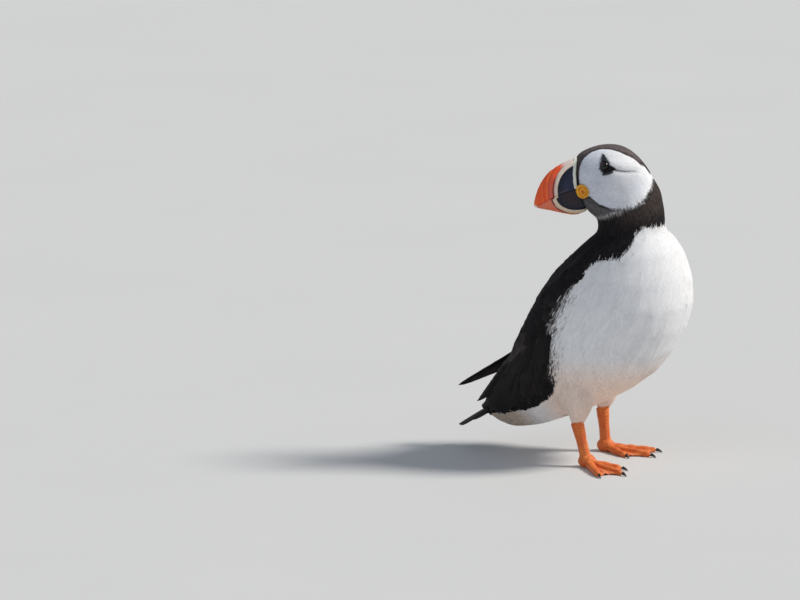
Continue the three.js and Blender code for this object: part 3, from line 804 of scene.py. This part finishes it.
class Ground:
    """The skin as arrays: what the coat grows on."""

    def __init__(self, mesh):
        mesh.calc_loop_triangles()
        triangles = mesh.loop_triangles
        self.corners = numbers(triangles, "vertices", 3, np.int32)
        self.points = points_of(mesh)
        self.normals = unit(normals_of(mesh)[self.corners].sum(1))
        flat = numbers(mesh.uv_layers["OFBake"].data, "uv", 2)
        self.flat = flat[numbers(triangles, "loops", 3, np.int32)].mean(1)
        materials = numbers(mesh.polygons, "material_index", 1, np.int32)[:, 0]
        self.feathered = materials[numbers(triangles, "polygon_index", 1, np.int32)[:, 0]] == 0
        a, b, c = (self.points[self.corners[:, k]] for k in range(3))
        self.middles = (a + b + c) / 3
        self.areas = np.linalg.norm(np.cross(b - a, c - a), axis=1) / 2
        self.tree = BVHTree.FromPolygons(self.points.tolist(), self.corners.tolist())

    def nearest(self, points):
        """The nearest place on the skin to each point, and the triangle it is on."""
        found = [self.tree.find_nearest(point)[:3:2] for point in points.tolist()]
        places = np.array([place[:] for place, _ in found])
        return places, np.array([triangle for _, triangle in found])

    def scatter(self, chosen, spacing):
        """Places over the chosen triangles, no two nearer than the spacing there, in metres."""
        which = np.flatnonzero(chosen)
        wanted = TRIES * self.areas[which] / spacing[which] ** 2
        times = np.floor(wanted + CHANCE.random(len(which))).astype(int)
        tried = np.repeat(which, times)
        CHANCE.shuffle(tried)
        share = CHANCE.random((len(tried), 2))
        share = np.where(share.sum(1, keepdims=True) > 1, 1 - share, share)
        a, b, c = (self.points[self.corners[tried, k]] for k in range(3))
        places = a + (b - a) * share[:, :1] + (c - a) * share[:, 1:]
        cell = spacing[which].max()
        cells = np.floor(places / cell).astype(int)
        room = spacing[tried] ** 2
        taken, kept = {}, []
        around = [(i, j, k) for i in (-1, 0, 1) for j in (-1, 0, 1) for k in (-1, 0, 1)]
        tries = enumerate(zip(cells.tolist(), places.tolist(), room.tolist()))
        for index, ((i, j, k), (x, y, z), free) in tries:
            near = (taken.get((i + u, j + v, k + w), ()) for u, v, w in around)
            if all((x - p) ** 2 + (y - q) ** 2 + (z - r) ** 2 > free for spot in near for p, q, r in spot):
                taken.setdefault((i, j, k), []).append((x, y, z))
                kept.append(index)
        return places[kept], tried[kept]


# ---- vanes


# A vane's stations as shares of its length, its width and the coat's depth, from root to tip.
NARROW = ((0.2, 0.9, 0.77), (0.78, 1.0, 0.85))
ROUND = ((0.20, 0.75, 0.40), (0.55, 1.0, 0.75), (0.84, 0.92, 0.92), (0.95, 0.55, 0.95))
LONG = (
    (0.12, 0.6, 0.7), (0.3, 0.85, 1.0), (0.5, 1.0, 1.1), (0.7, 0.95, 1.15), (0.86, 0.7, 1.15),
    (0.95, 0.4, 1.1),
)
PATCH = 0.003  # width of a vane's patch on the map that a bake goes through
ROOT_SUNK = 0.25  # how far a vane's root lies under the skin, in mm
TIP_RISE = 0.86  # a vane's tip, as a share of the coat's depth
SIDE_TILT = 0.1  # how far a vane's shading leans out at its sides


def vane_faces(columns, rows):
    """Triangles of one closed vane: a root point, rows of columns points, and a tip point."""
    starts = [1 + row * columns for row in range(rows)]
    tip, last, wide = 1 + rows * columns, starts[-1], columns - 1
    faces = []
    for k in range(wide):
        faces += [(0, k + 2, k + 1), (tip, last + k, last + k + 1)]
    faces += [(0, 1, columns), (tip, last + wide, last)]
    for here, there in zip(starts, starts[1:]):
        for k in range(wide):
            faces += [(here + k, here + k + 1, there + k + 1), (here + k, there + k + 1, there + k)]
        faces += [(here + wide, here, there), (here + wide, there, there + wide)]
    return np.array(faces)


def lay_vanes(
    name, ground, roots, triangles, shape, size, colours=None,
    columns=3, ragged=1.0, own_edges=False, bias=0.0,
):
    """Vanes that lie along the skin, joined as one mesh. size gives length, width, ridge, yaw and lift.
    Without colours of their own, each carries the plumage's marking where it lies, or with own_edges
    a marking's edge may cross it."""
    count, rows = len(roots), len(shape)
    lengths, widths, ridge, yaw, lift = size
    depth = lie_at(roots)[2] * lift
    place, triangle, travelled = roots, triangles, 0.0
    normal = ground.normals[triangles]
    stations = [(roots - normal * ROOT_SUNK * MM)[None]]
    outward = [normal[None]]
    lean = CHANCE.normal(size=count)[:, None] * yaw
    across_at = np.linspace(-1, 1, columns)
    for share, wide, high in (*shape, (1, 0, TIP_RISE)):
        ahead = lie_at(place)[0]
        ahead = unit(ahead - (ahead * normal).sum(1, keepdims=True) * normal)
        ahead = unit(ahead + np.cross(ahead, normal) * lean)
        place, triangle = ground.nearest(place + ahead * ((share - travelled) * lengths)[:, None])
        travelled = share
        normal = ground.normals[triangle]
        beside = unit(np.cross(ahead, normal))
        spots = (across_at if wide else np.zeros(1))[:, None, None]
        middle = place + normal * (depth * high)[:, None]
        off = spots * (widths * wide / 2)[:, None] * beside
        arch = (1 - spots**2) * (ridge * wide)[:, None] * normal
        stations.append(middle + off + arch)
        outward.append(unit(normal + spots * beside * SIDE_TILT))
    points = np.concatenate(stations).swapaxes(0, 1)
    facing = np.concatenate(outward).swapaxes(0, 1)
    each = points.shape[1]
    pattern = vane_faces(columns, rows)
    faces = (np.arange(count) * each)[:, None, None] + pattern
    across = np.concatenate([[0.5], np.tile((across_at + 1) / 2, rows), [0.5]])
    length = np.concatenate([[0.0], np.repeat([s[0] for s in shape], columns), [1.0]])
    own = np.stack([across, length], 1)[pattern]
    patch = ground.flat[triangles][:, None, None] + (own - 0.5) * PATCH
    mesh = bpy.data.meshes.new(name)
    mesh.from_pydata(points.reshape(-1, 3).tolist(), [], faces.reshape(-1, 3).tolist(), shade_flat=False)
    for key, flat in (("vane", np.broadcast_to(own, patch.shape)), ("OFBake", np.clip(patch, 0, 1))):
        mesh.uv_layers.new(name=key).data.foreach_set("uv", flat.ravel())
    mesh.validate()
    if colours is None:
        broken = CHANCE.normal(size=count) * ragged + bias
        seen = points if own_edges else points[:, each // 2][:, None]
        broken = np.repeat(broken, seen.shape[1])
        colours = markings(seen.reshape(-1, 3), broken).reshape(count, -1, 3)
        differ = 0.24 - 0.26 * colours.mean((1, 2))
        tint = 1 + differ * CHANCE.normal(size=count).clip(-2, 2) + 0.02 * streaks(roots)
        colours = np.broadcast_to(colours, (count, each, 3)) * tint[:, None, None]
        colours = colours.clip(0, 1).reshape(-1, 3)
    else:
        colours = np.repeat(colours, each, axis=0)
    paint(mesh, "plumage", colours)
    mesh.normals_split_custom_set_from_vertices(facing.reshape(-1, 3))
    return mesh


def coat(
    name, ground, chosen, packing, slimness, shape, material, slot,
    ridge=0.1, yaw=0.05, spread=1.0, uneven=0.012, **edges,
):
    """A piece of the coat over the chosen triangles. packing is the spacing as a share of the length."""
    roots, triangles = ground.scatter(chosen, lie_at(ground.middles)[1] * spread * packing)
    lengths = lie_at(roots)[1] * spread * (1 + 0.16 * CHANCE.normal(size=len(roots))).clip(0.6, 1.5)
    widths = lengths * slimness * (1 + 0.15 * CHANCE.normal(size=len(roots))).clip(0.6, 1.5)
    lift = (1 + uneven * CHANCE.normal(size=len(roots)) + 0.03 * streaks(roots)).clip(0.6, 1.25)
    size = (lengths, widths, widths * ridge, yaw, lift)
    attach(name, lay_vanes(name, ground, roots, triangles, shape, size, **edges), [], slot, material)


FLANK_MIX = 9  # how far the dark and the white feathers of the flank reach into each other, in mm
EDGE_MIX = 4  # and elsewhere along the edge of the dark plumage
BACK_OVER = 5  # how far inside that edge the back's own feathers start again, in mm
FLANK_LOW, FLANK_HIGH = 46, 126  # heights on the body, in mm
BREAST_LOW = 92
MANTLE_HIGH = 136
HEAD_LOW = 150
LEGGING_HEM = 1.2  # how far above the bare leg the nearest feathers root
BEHIND_LEGS = -20
FACE_LOW = -24  # in the head's frame
DISC_OVER = 0.4  # how far the pale disc's feathers root beyond its edge, in mm
OVERLAP = 1  # how far neighbouring pieces of the coat reach over their shared edge, in mm


def make_coat(ground):
    """The coat in pieces: face, cap and neck, then breast, belly, flank and back by side."""
    middles = ground.middles
    places = on_body(middles)
    body, head = places.T, on_head(middles).T
    clear = clear_of_face_parts(middles) & ground.feathered
    for side in SIDES:
        aside = ~on_side(places, side) | (body[0] < BEHIND_LEGS)
        clear &= aside | (body[2] > BARE_TOP[side] + LEGGING_HEM)
    on_face = (head[2] > along(CHIN_LOW, head[0]) - OVERLAP) & (head[2] > FACE_LOW)
    face = clear & on_face & (body[2] > HEAD_LOW)
    disc = face & (disc_edge(middles) > -DISC_OVER)
    rest = clear & ~face
    edge = dark_edge(middles)
    on_flank = (body[2] < FLANK_HIGH) & (body[2] > FLANK_LOW)
    flank = rest & (np.abs(edge) < np.where(on_flank, FLANK_MIX, EDGE_MIX))
    white = rest & (edge > -OVERLAP) & ~flank
    dark = rest & (edge < OVERLAP) & ~flank
    neck = dark & (body[2] > MANTLE_HIGH)
    back = (dark & ~neck) | (flank & (edge < -BACK_OVER))
    small, broad = (NARROW, VANES), (ROUND, BROAD)
    pale, black = "white_plumage", "black_plumage"
    coat("face_feathers", ground, disc, 0.148, 0.25, *small, "face_plumage", yaw=0.04, own_edges=True)
    coat("cap_and_chin_feathers", ground, face & ~disc, 0.17, 0.28, *small, black, own_edges=True)
    coat("neck_feathers", ground, neck, 0.16, 0.24, *small, black, yaw=0.12)
    loose = {"ridge": 0.06, "yaw": 0.08, "spread": 1.1, "uneven": 0.03, "ragged": 0.3, "bias": -8}
    for side in SIDES:
        here = on_side(places, side)
        for part, zone in (("breast", body[2] >= BREAST_LOW), ("belly", body[2] < BREAST_LOW)):
            coat(f"{part}_feathers_{side}", ground, white & here & zone, 0.092, 0.17, *small, pale)
        coat(f"flank_feathers_{side}", ground, flank & here, 0.11, 0.12, *small, pale, yaw=0.1, spread=0.8)
        coat(f"back_and_wing_feathers_{side}", ground, back & here, 0.2, 0.6, *broad, black, **loose)


# ---- flight feathers


BLADE_COLUMNS, BLADE_ROWS = 8, 20  # the faces across and along a flight feather
BLADE_THICKNESS = 0.3
BASE_SHARE = 0.75  # its width at its root, as a share of its full width
OPENING = 0.3  # where it has its full width, as a share of its length
SHAFT_HALF, SHAFT_RISE = 0.14, 0.22  # the shaft's half width as a share of the feather's, and its height
WELD = 0.01  # points nearer than this become one, in mm


def blade(root, tip, out, width, bow, taper, lopsided=0.0):
    """A flight feather as a bmesh: a sheet from create_grid, shaped along its shaft."""
    sheet = bmesh.new()
    bmesh.ops.create_grid(sheet, x_segments=BLADE_COLUMNS, y_segments=BLADE_ROWS, size=1)
    layer = sheet.loops.layers.uv.new("vane")
    place = {}
    root, tip, out = (Vector(v) for v in (root, tip, out))
    ahead = (tip - root).normalized()
    across = ahead.cross(out).normalized()
    out = across.cross(ahead).normalized()
    length = (tip - root).length
    for vert in sheet.verts:
        side, t = vert.co.x, (vert.co.y + 1) / 2
        place[vert] = ((side + 1) / 2, t)
        opening = BASE_SHARE + (1 - BASE_SHARE) * min(1, t / OPENING)
        outline = opening * (1 - t**taper) ** 0.55 if t < 1 else 0.0
        notch = 1 - 0.05 * abs(math.sin(19 * t + 3 * side)) * abs(side)
        reach = side * width / 2 * outline * notch * (1 + lopsided * side)
        lag = -0.10 * width * abs(side) * (1 - t)
        rise = bow * 4 * t * (1 - t) - 0.12 * width * side * side * outline
        shaft = SHAFT_RISE * MM * math.exp(-((side / SHAFT_HALF) ** 2)) * (1 - t)
        vert.co = root + ahead * (length * t + lag) + across * reach + out * (rise + shaft)
    for face in sheet.faces:
        for loop in face.loops:
            loop[layer].uv = place[loop.vert]
    bmesh.ops.remove_doubles(sheet, verts=sheet.verts, dist=WELD * MM)
    bmesh.ops.recalc_face_normals(sheet, faces=sheet.faces)
    sheet.normal_update()
    if sum(face.normal.dot(out) for face in sheet.faces) < 0:
        bmesh.ops.reverse_faces(sheet, faces=sheet.faces)
    bmesh.ops.solidify(sheet, geom=sheet.faces, thickness=BLADE_THICKNESS * MM)
    return sheet


def quills(name, blades, node):
    """A fan of flight feathers joined as one piece."""
    attach(name, joined(blades, name), [node], "flight_feathers", QUILLS)


WING_TIP = {
    "right": ((-36, -37, 76), (-51, -25, 59.6), (-81, -12, 34.7)),
    "left": ((-47, 27, 72), (-72, 18, 54.5), (-101, 7, 37.3)),
}
PRIMARIES = 8  # that show in each folded wing
PRIMARY_WIDTH = 7.4
FAN_WIDTH = 7.5  # between the shafts of the first and the last


def make_primaries():
    """The stacked long feathers at the end of each folded wing, the longest innermost."""
    for side, sign in SIDES.items():
        start, bend, end = (in_body(place) for place in WING_TIP[side])
        out = unit(swapped((-0.25, sign, 0.45)))
        across = unit(np.cross(unit(end - start), out))
        fan = []
        for k in range(PRIMARIES):
            share = k / (PRIMARIES - 1)
            reach = 1.0 - 0.52 * share**1.15
            offset = across * (share - 0.42) * FAN_WIDTH * MM
            root = start + (bend - start) * 0.25 + offset - out * (3.0 - 0.2 * k) * MM
            tip = start + (end - start) * reach + offset * 0.55 + out * (0.12 * k - 0.4) * MM
            bow = -0.035 * np.linalg.norm(tip - root)
            fan.append(blade(root, tip, out, PRIMARY_WIDTH * MM, bow, taper=2.6, lopsided=0.12))
        quills(f"primary_feathers_{side}", fan, f"primaries_{side}")


TAIL_ROOT = (-66, 0, 34)
TAIL_LENGTH = 36
TAIL_DROP = math.radians(31)
TAIL_PAIRS = 6
TAIL_ROOT_HALF, TAIL_TIP_HALF = 7.5, 10.2  # half the tail's width at its root and its tip
TAIL_FEATHER_WIDTH, TAIL_FEATHER_BOW = 6.2, 0.4


def make_tail():
    """Twelve short tail feathers, the middle pair on top."""
    back = swapped((-math.cos(TAIL_DROP), 0, -math.sin(TAIL_DROP)))
    up = swapped((-math.sin(TAIL_DROP), 0, math.cos(TAIL_DROP)))
    base = in_body(TAIL_ROOT)
    fan = []
    for k in reversed(range(TAIL_PAIRS)):
        share = (k + 0.5) / TAIL_PAIRS
        for sign in SIDES.values():
            aside = swapped((0, sign, 0)) * share
            root = base + (aside * TAIL_ROOT_HALF + up * (0.7 - share)) * MM
            reach = back * TAIL_LENGTH * (1.02 - 0.15 * share**2)
            tip = base + (reach + aside * TAIL_TIP_HALF - up * 2.2 * share**2) * MM
            out = unit(up + 0.35 * aside)
            fan.append(blade(root, tip, out, TAIL_FEATHER_WIDTH * MM, TAIL_FEATHER_BOW * MM, taper=6))
    quills("tail_feathers", fan, "tail")


# Each row's start and end, (forward, out, up), its count, and its feathers' length and width.
SECONDARY_ROWS = [
    ((-14, 41, 92), (-42, 31, 70), 15, 25, 4.6),
    ((-18, 41.5, 78), (-47, 27, 58), 18, 27, 4.2),
    ((-22, 39, 66), (-50, 24, 46), 20, 22, 3.8),
]


def make_secondaries(ground):
    """The long loose feathers that hang from the lower edge of each wing, in three rows."""
    for side, sign in SIDES.items():
        roots, lengths, widths = [], [], []
        for start, end, count, length, width in SECONDARY_ROWS:
            for k in range(count):
                share = (k + 0.3 * CHANCE.random()) / (count - 1)
                place = np.array(start) * (1 - share) + np.array(end) * share
                roots.append(in_body(place * (1, sign, 1)))
                lengths.append(length * (0.8 + 0.4 * CHANCE.random()) * MM)
                widths.append(width * (0.85 + 0.3 * CHANCE.random()) * MM)
        roots, triangles = ground.nearest(np.array(roots))
        widths = np.array(widths)
        size = (np.array(lengths), widths, widths * 0.07, 0.13, np.ones(len(roots)))
        colours = mixed(BLACK, FLANK_BROWN, 0.25 * CHANCE.random(len(roots)))
        name = f"secondary_feathers_{side}"
        mesh = lay_vanes(name, ground, roots, triangles, LONG, size, colours, columns=5)
        attach(name, mesh, [], "flight_feathers", BROAD)


# ---- bill, eyes and claws

BILL_BASE = ((-17.5, 1.5), (19.2, 27))
UPPER_PLATE = ((-2, 1.5), (19, 19.2))
LOWER_PLATE = ((-2, 1.1), (20.5, 14.8))
NOSTRIL_LINE = [(8, 4.9), (14.6, 3.6)]
GROOVE_DEPTH = 0.22  # mm
# Of each kind of small part: its faces' sides, how often they are smoothed, and how far it is grown.
HORN_FINE = (0.34, 4, 0.2)
CERE_FINE = (0.34, 3, 0.2)
ROSETTE_FINE = (0.26, 4, 0.45)
EYE_PLATE_FINE = (0.25, 3, 0.1)
CLAW_FINE = (0.2, 2, 0.03)


def ring_of(places, ellipse):
    """How far out of an ellipse (centre, radii) each place of the head is, as a share of its radii."""
    (forward, up), (long, tall) = ellipse
    return np.hypot((places[:, 0] - forward) / long, (places[:, 2] - up) / tall)


ORANGE = (0.86, 0.1, 0.022)
BRIGHT_ORANGE = (0.9, 0.17, 0.045)
PINK_ORANGE = (0.62, 0.125, 0.095)
SALMON = (0.76, 0.19, 0.11)
YELLOW_ORANGE = (0.74, 0.25, 0.035)
MAROON = (0.14, 0.018, 0.013)
PALE_HORN = (0.74, 0.62, 0.56)
CREAM = (0.76, 0.64, 0.55)
YELLOW_CREAM = (0.76, 0.6, 0.42)
CERE_WHITE = (0.8, 0.79, 0.71)
# A painted shadow line along the rear edge of the cere.
CERE_SHADOW = (0.09, 0.075, 0.065)
SLATE = (0.013, 0.016, 0.032)
SLATE_BLUE = (0.024, 0.031, 0.07)
SLATE_BROWN = (0.03, 0.022, 0.028)
NOSTRIL = (0.11, 0.088, 0.085)
BILL_TIP = (30, 0, -1)  # in the head's frame


def tip_paint(places, ring, upper):
    """The orange end of one half of the bill: its colour, and how deep each groove is."""
    forward, _, up = places.T
    behind = eased(1.07, 1.03, ring)
    # a painted highlight: the very tip of the bill paler
    wear_and_sheen = eased(2.6, 0.8, np.linalg.norm(places - np.array(BILL_TIP), axis=1))
    if upper:
        colour = layered(
            ORANGE,
            (BRIGHT_ORANGE, 0.5 * bump_at(ring, 1.39, 0.03) + 0.7 * eased(1.5, 1.7, ring)),
            (PINK_ORANGE, 0.75 * eased(1.22, 1.14, ring) * eased(18, 8, up)),
            (BRIGHT_ORANGE, 0.9 * bump_at(ring, 1.235, 0.028)),
            (MAROON, 0.8 * behind * eased(17, 11, up)),
            (MAROON, 0.3 * bump_at(ring, 1.19, 0.014) + 0.18 * bump_at(ring, 1.33, 0.014)),
            (PALE_HORN, eased(9, 3.5, forward) * eased(12, 16, up)),
        )
        depth = 0.8 * behind + bump_at(ring, 1.19, 0.022) + 0.7 * bump_at(ring, 1.33, 0.02)
    else:
        colour = layered(
            SALMON,
            (YELLOW_ORANGE, eased(-8.5, -11.5, up) * eased(20, 10, forward)),
            (BRIGHT_ORANGE, 0.5 * bump_at(ring, 1.2, 0.03)),
            (MAROON, 0.85 * behind * eased(-12, -9, up)),
        )
        depth = 0.8 * behind + 0.6 * bump_at(ring, 1.24, 0.02)
    return mixed(colour, PALE_HORN, wear_and_sheen), np.clip(depth, 0, 1)


def horn_paint(places, node):
    """The colour of a piece of the bill at each place, and how deep its grooves are."""
    forward, _, up = places.T
    upper = "upper" in node
    ring = ring_of(places, UPPER_PLATE if upper else LOWER_PLATE)
    if "tip" in node:
        return tip_paint(places, ring, upper)
    if "band" in node:
        inner = 0.866 if upper else 0.82
        front = eased(0.945, 1.0, ring) * eased(16, 11, up)
        colour = layered(
            CREAM,
            (YELLOW_CREAM, np.full(len(places), 0.0 if upper else 0.7)),
            (PINK_ORANGE, 0.7 * front * (1.0 if upper else 0.4)),
            (SLATE_BROWN, 0.7 * eased(inner + 0.015, inner - 0.01, ring)),
        )
        return colour, 0.4 * bump_at(ring, inner + 0.03, 0.015)
    if node == "cere":
        # painted shadow line: the cere darker along its rear edge
        colour = mixed(CERE_SHADOW, CERE_WHITE, eased(1.0, 1.03, ring_of(places, BILL_BASE)))
        return colour, 0.3 * (0.5 + 0.5 * np.sin(up * 2.1 + forward)) ** 4
    middle = eased(0.84, 0.6, ring) * eased(-0.5, 4.5, forward)
    slit = bump_at(from_line(places[:, ::2], NOSTRIL_LINE), 0, 0.42) * (0.6 if upper else 0.0)
    return layered(SLATE, (SLATE_BLUE if upper else SLATE_BROWN, middle), (NOSTRIL, slit)), slit


def horn_relief(mesh, node):
    """Grooves and colours of a piece of the bill, moved and painted in place."""
    points = points_of(mesh)
    colour, depth = horn_paint(on_head(points), node)
    move_points(mesh, points - normals_of(mesh) * (GROOVE_DEPTH * depth)[:, None] * MM)
    paint(mesh, "horn", colour)


def smooth_copy(node, fine, material, slot, relief=None, name=None):
    """A fine, smooth copy of one hard solid, with its relief."""
    voxel, passes, grow = fine
    mesh = remeshed(merged({node: grow}), voxel, passes)
    if relief:
        relief(mesh, node)
    attach(name or f"{node}_horn", mesh, [node], slot, material)


def make_bill():
    """The horn of the bill, plate by plate, and the fleshy rosettes at its corners."""
    finishes = {
        "tip": (RED_HORN, "red_horn"),
        "band": (CREAM_HORN, "cream_horn"),
        "plate": (SLATE_HORN, "slate_horn"),
    }
    for jaw in ("upper", "lower"):
        for part, look in finishes.items():
            smooth_copy(f"bill_{jaw}_{part}", HORN_FINE, *look, horn_relief)
    smooth_copy("cere", CERE_FINE, CREAM_HORN, "cream_horn", horn_relief)
    for side in SIDES:
        rosette = (f"rosette_{side}", ROSETTE_FINE, ROSETTE, "rosette")
        smooth_copy(*rosette, wrinkled, f"rosette_skin_{side}")


ROSETTE_RIM = (0.95, 0.45, 0.02)
ROSETTE_DEEP = (0.5, 0.14, 0.004)
ROSETTE_RIDGE = (0.85, 0.36, 0.015)
FOLD_DEPTH = 0.5  # mm


def wrinkled(mesh, _):
    """A rosette's folds, which run round its own middle."""
    points = points_of(mesh)
    places = on_head(points)
    low, high = places.min(0), places.max(0)
    across, _, up = ((places - (low + high) / 2) / (high - low) * 2).T
    turn = np.arctan2(up, across)
    out = (np.abs(across) ** 2.6 + np.abs(up) ** 2.6) ** (1 / 2.6)
    out = out + 0.05 * np.sin(3 * turn + 1) + 0.03 * np.sin(7 * turn)
    rim, ridge = bump_at(out, 0.84, 0.14), bump_at(out, 0.42, 0.13)
    sunk = FOLD_DEPTH * (1 - np.clip(rim + ridge, 0, 1)) * eased(1.15, 0.95, out)
    move_points(mesh, points - normals_of(mesh) * sunk[:, None] * MM)
    skin = (ROSETTE_RIM, rim), (ROSETTE_RIDGE, ridge), (ROSETTE_RIM, eased(0.95, 1.1, out))
    paint(mesh, "horn", layered(ROSETTE_DEEP, *skin))


EYE_RADIUS = 3.3
LID_RING, LID_THICKNESS = 2.7, 0.4
EYE_CLEARING = 3.3  # how far from the eye's centre the nearest feathers root
BILL_LOW = -16  # the bill covers nothing below this, in the head's frame


def eye_centre(side):
    return sum(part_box(f"eye_{side}"), Vector()) / 2


def make_eyes():
    """Glossy dark eyes with dark lids and small horny plates above and below."""
    upright = {"cent": (0, 0, 0), "matrix": Matrix.Rotation(math.pi / 2, 3, "X")}
    once_round = {"angle": TURN, "steps": 48, "axis": (0, 0, 1), "cent": (0, 0, 0), "use_merge": True}
    lid_height = math.sqrt(EYE_RADIUS**2 - LID_RING**2)
    for side, sign in SIDES.items():
        centre = eye_centre(side)
        axis = Vector(in_head((0, sign, 0)) - in_head((0, 0, 0))).normalized()
        seat = Matrix.Translation(centre) @ axis.to_track_quat("Z", "Y").to_matrix().to_4x4()
        ball = bmesh.new()
        bmesh.ops.create_uvsphere(ball, u_segments=40, v_segments=24, radius=EYE_RADIUS * MM)
        bmesh.ops.transform(ball, matrix=seat, verts=ball.verts)
        mesh = mesh_of(ball, f"eyeball_{side}")
        off = points_of(mesh) - np.array(centre)
        beside = off - (off @ np.array(axis))[:, None] * np.array(axis)
        weigh(mesh, "off_axis", np.linalg.norm(beside, axis=1) / (EYE_RADIUS * MM))
        attach(f"eyeball_{side}", mesh, [f"eye_{side}"], "eye", EYE)
        lid = bmesh.new()
        bmesh.ops.create_circle(lid, segments=12, radius=LID_THICKNESS * MM)
        bmesh.ops.rotate(lid, verts=lid.verts, **upright)
        bmesh.ops.translate(lid, verts=lid.verts, vec=(LID_RING * MM, 0, lid_height * MM))
        bmesh.ops.spin(lid, geom=lid.verts[:] + lid.edges[:], **once_round)
        bmesh.ops.remove_doubles(lid, verts=lid.verts, dist=WELD * MM)
        bmesh.ops.recalc_face_normals(lid, faces=lid.faces)
        bmesh.ops.transform(lid, matrix=seat, verts=lid.verts)
        attach(f"eyelid_{side}", mesh_of(lid, f"eyelid_{side}"), [], "eye", LID_SKIN)
        for plate in ("upper", "lower"):
            smooth_copy(f"eye_plate_{plate}_{side}", EYE_PLATE_FINE, EYE_HORN, "eye_horn")


def clear_of_face_parts(points):
    """Where feathers may grow: not on the eyes, nor under the bill's base."""
    free = np.ones(len(points), bool)
    for side in SIDES:
        free &= np.linalg.norm(points - np.array(eye_centre(side)), axis=1) > EYE_CLEARING * MM
    places = on_head(points)
    behind_bill = (ring_of(places, BILL_BASE) < 1.0) | (places[:, 0] < BILL_BASE[0][0])
    return free & (behind_bill | (places[:, 2] < BILL_LOW))


def make_claws():
    for side in SIDES:
        for toe in TOES:
            smooth_copy(f"claw_{side}_{toe}", CLAW_FINE, CLAW_HORN, "claw")


# ---- floor, light and camera

VIEW_AZIMUTH = math.radians(-65)
VIEW_RISE = math.radians(11)
VIEW_DISTANCE = 4990
PICTURE = (800, 600)
PIXELS_PER_MM = 1.56
ORIGIN_PIXEL = (598.5, 459)  # where the bird's own origin shows
SENSOR = 36
FARTHEST = 50  # what the camera sees, in metres
FLOOR_HALF = 9  # half the floor's side, in metres


def direction(azimuth, rise):
    """The way that lies at these angles: azimuth runs from in front towards the bird's left."""
    flat = math.cos(rise)
    return Vector((math.sin(azimuth) * flat, -math.cos(azimuth) * flat, math.sin(rise)))


def make_camera():
    """A long lens from the bird's right, a little above it."""
    away = direction(VIEW_AZIMUTH, VIEW_RISE)
    right = Vector((math.cos(VIEW_AZIMUTH), math.sin(VIEW_AZIMUTH), 0))
    up = away.cross(right)
    aside, below = ((at - size / 2) / PIXELS_PER_MM for at, size in zip(ORIGIN_PIXEL, PICTURE))
    target = Vector(in_body((0, 0, 0))) + (up * below - right * aside) * MM
    data = bpy.data.cameras.new("camera")
    data.lens = PIXELS_PER_MM * VIEW_DISTANCE * SENSOR / PICTURE[0]
    data.sensor_width = SENSOR
    data.clip_end = FARTHEST
    camera = placed("camera", data)
    turn = Matrix((right, up, away)).transposed().to_4x4()
    camera.matrix_world = Matrix.Translation(target + away * VIEW_DISTANCE * MM) @ turn
    bpy.context.scene.camera = camera


def make_floor():
    sheet = bmesh.new()
    bmesh.ops.create_grid(sheet, x_segments=1, y_segments=1, size=FLOOR_HALF)
    mesh = mesh_of(sheet, "floor")
    mesh.materials.append(FLOOR)
    placed("floor", mesh)


# Each lamp's name, azimuth, rise and angle across, in degrees, then its strength and colour.
LAMPS = [
    ("key", 24, 44, 14, 3.3, (1.0, 0.96, 0.9)),
    ("fill", -110, 35, 60, 0.35, (0.82, 0.9, 1.0)),
]
SKY_COLOUR = (0.8, 0.88, 1.0)
SKY_STRENGTH = 0.34


def make_light():
    """The lamps, and a pale sky all round."""
    for name, azimuth, rise, angle, strength, colour in LAMPS:
        data = bpy.data.lights.new(name, "SUN")
        data.angle = math.radians(angle)
        data.energy = strength
        data.color = colour
        way = direction(math.radians(azimuth), math.radians(rise))
        placed(name, data).matrix_world = way.to_track_quat("Z", "Y").to_matrix().to_4x4()
    world = bpy.data.worlds.new("studio")
    world.use_nodes = True
    sky = world.node_tree.nodes["Background"].inputs
    sky["Color"].default_value = (*SKY_COLOUR, 1)
    sky["Strength"].default_value = SKY_STRENGTH
    bpy.context.scene.world = world
    bpy.context.scene.view_settings.view_transform = "Standard"


make_camera()
make_floor()
make_light()
ground = Ground(make_skin().data)
make_coat(ground)
make_secondaries(ground)
make_primaries()
make_tail()
make_bill()
make_eyes()
make_claws()
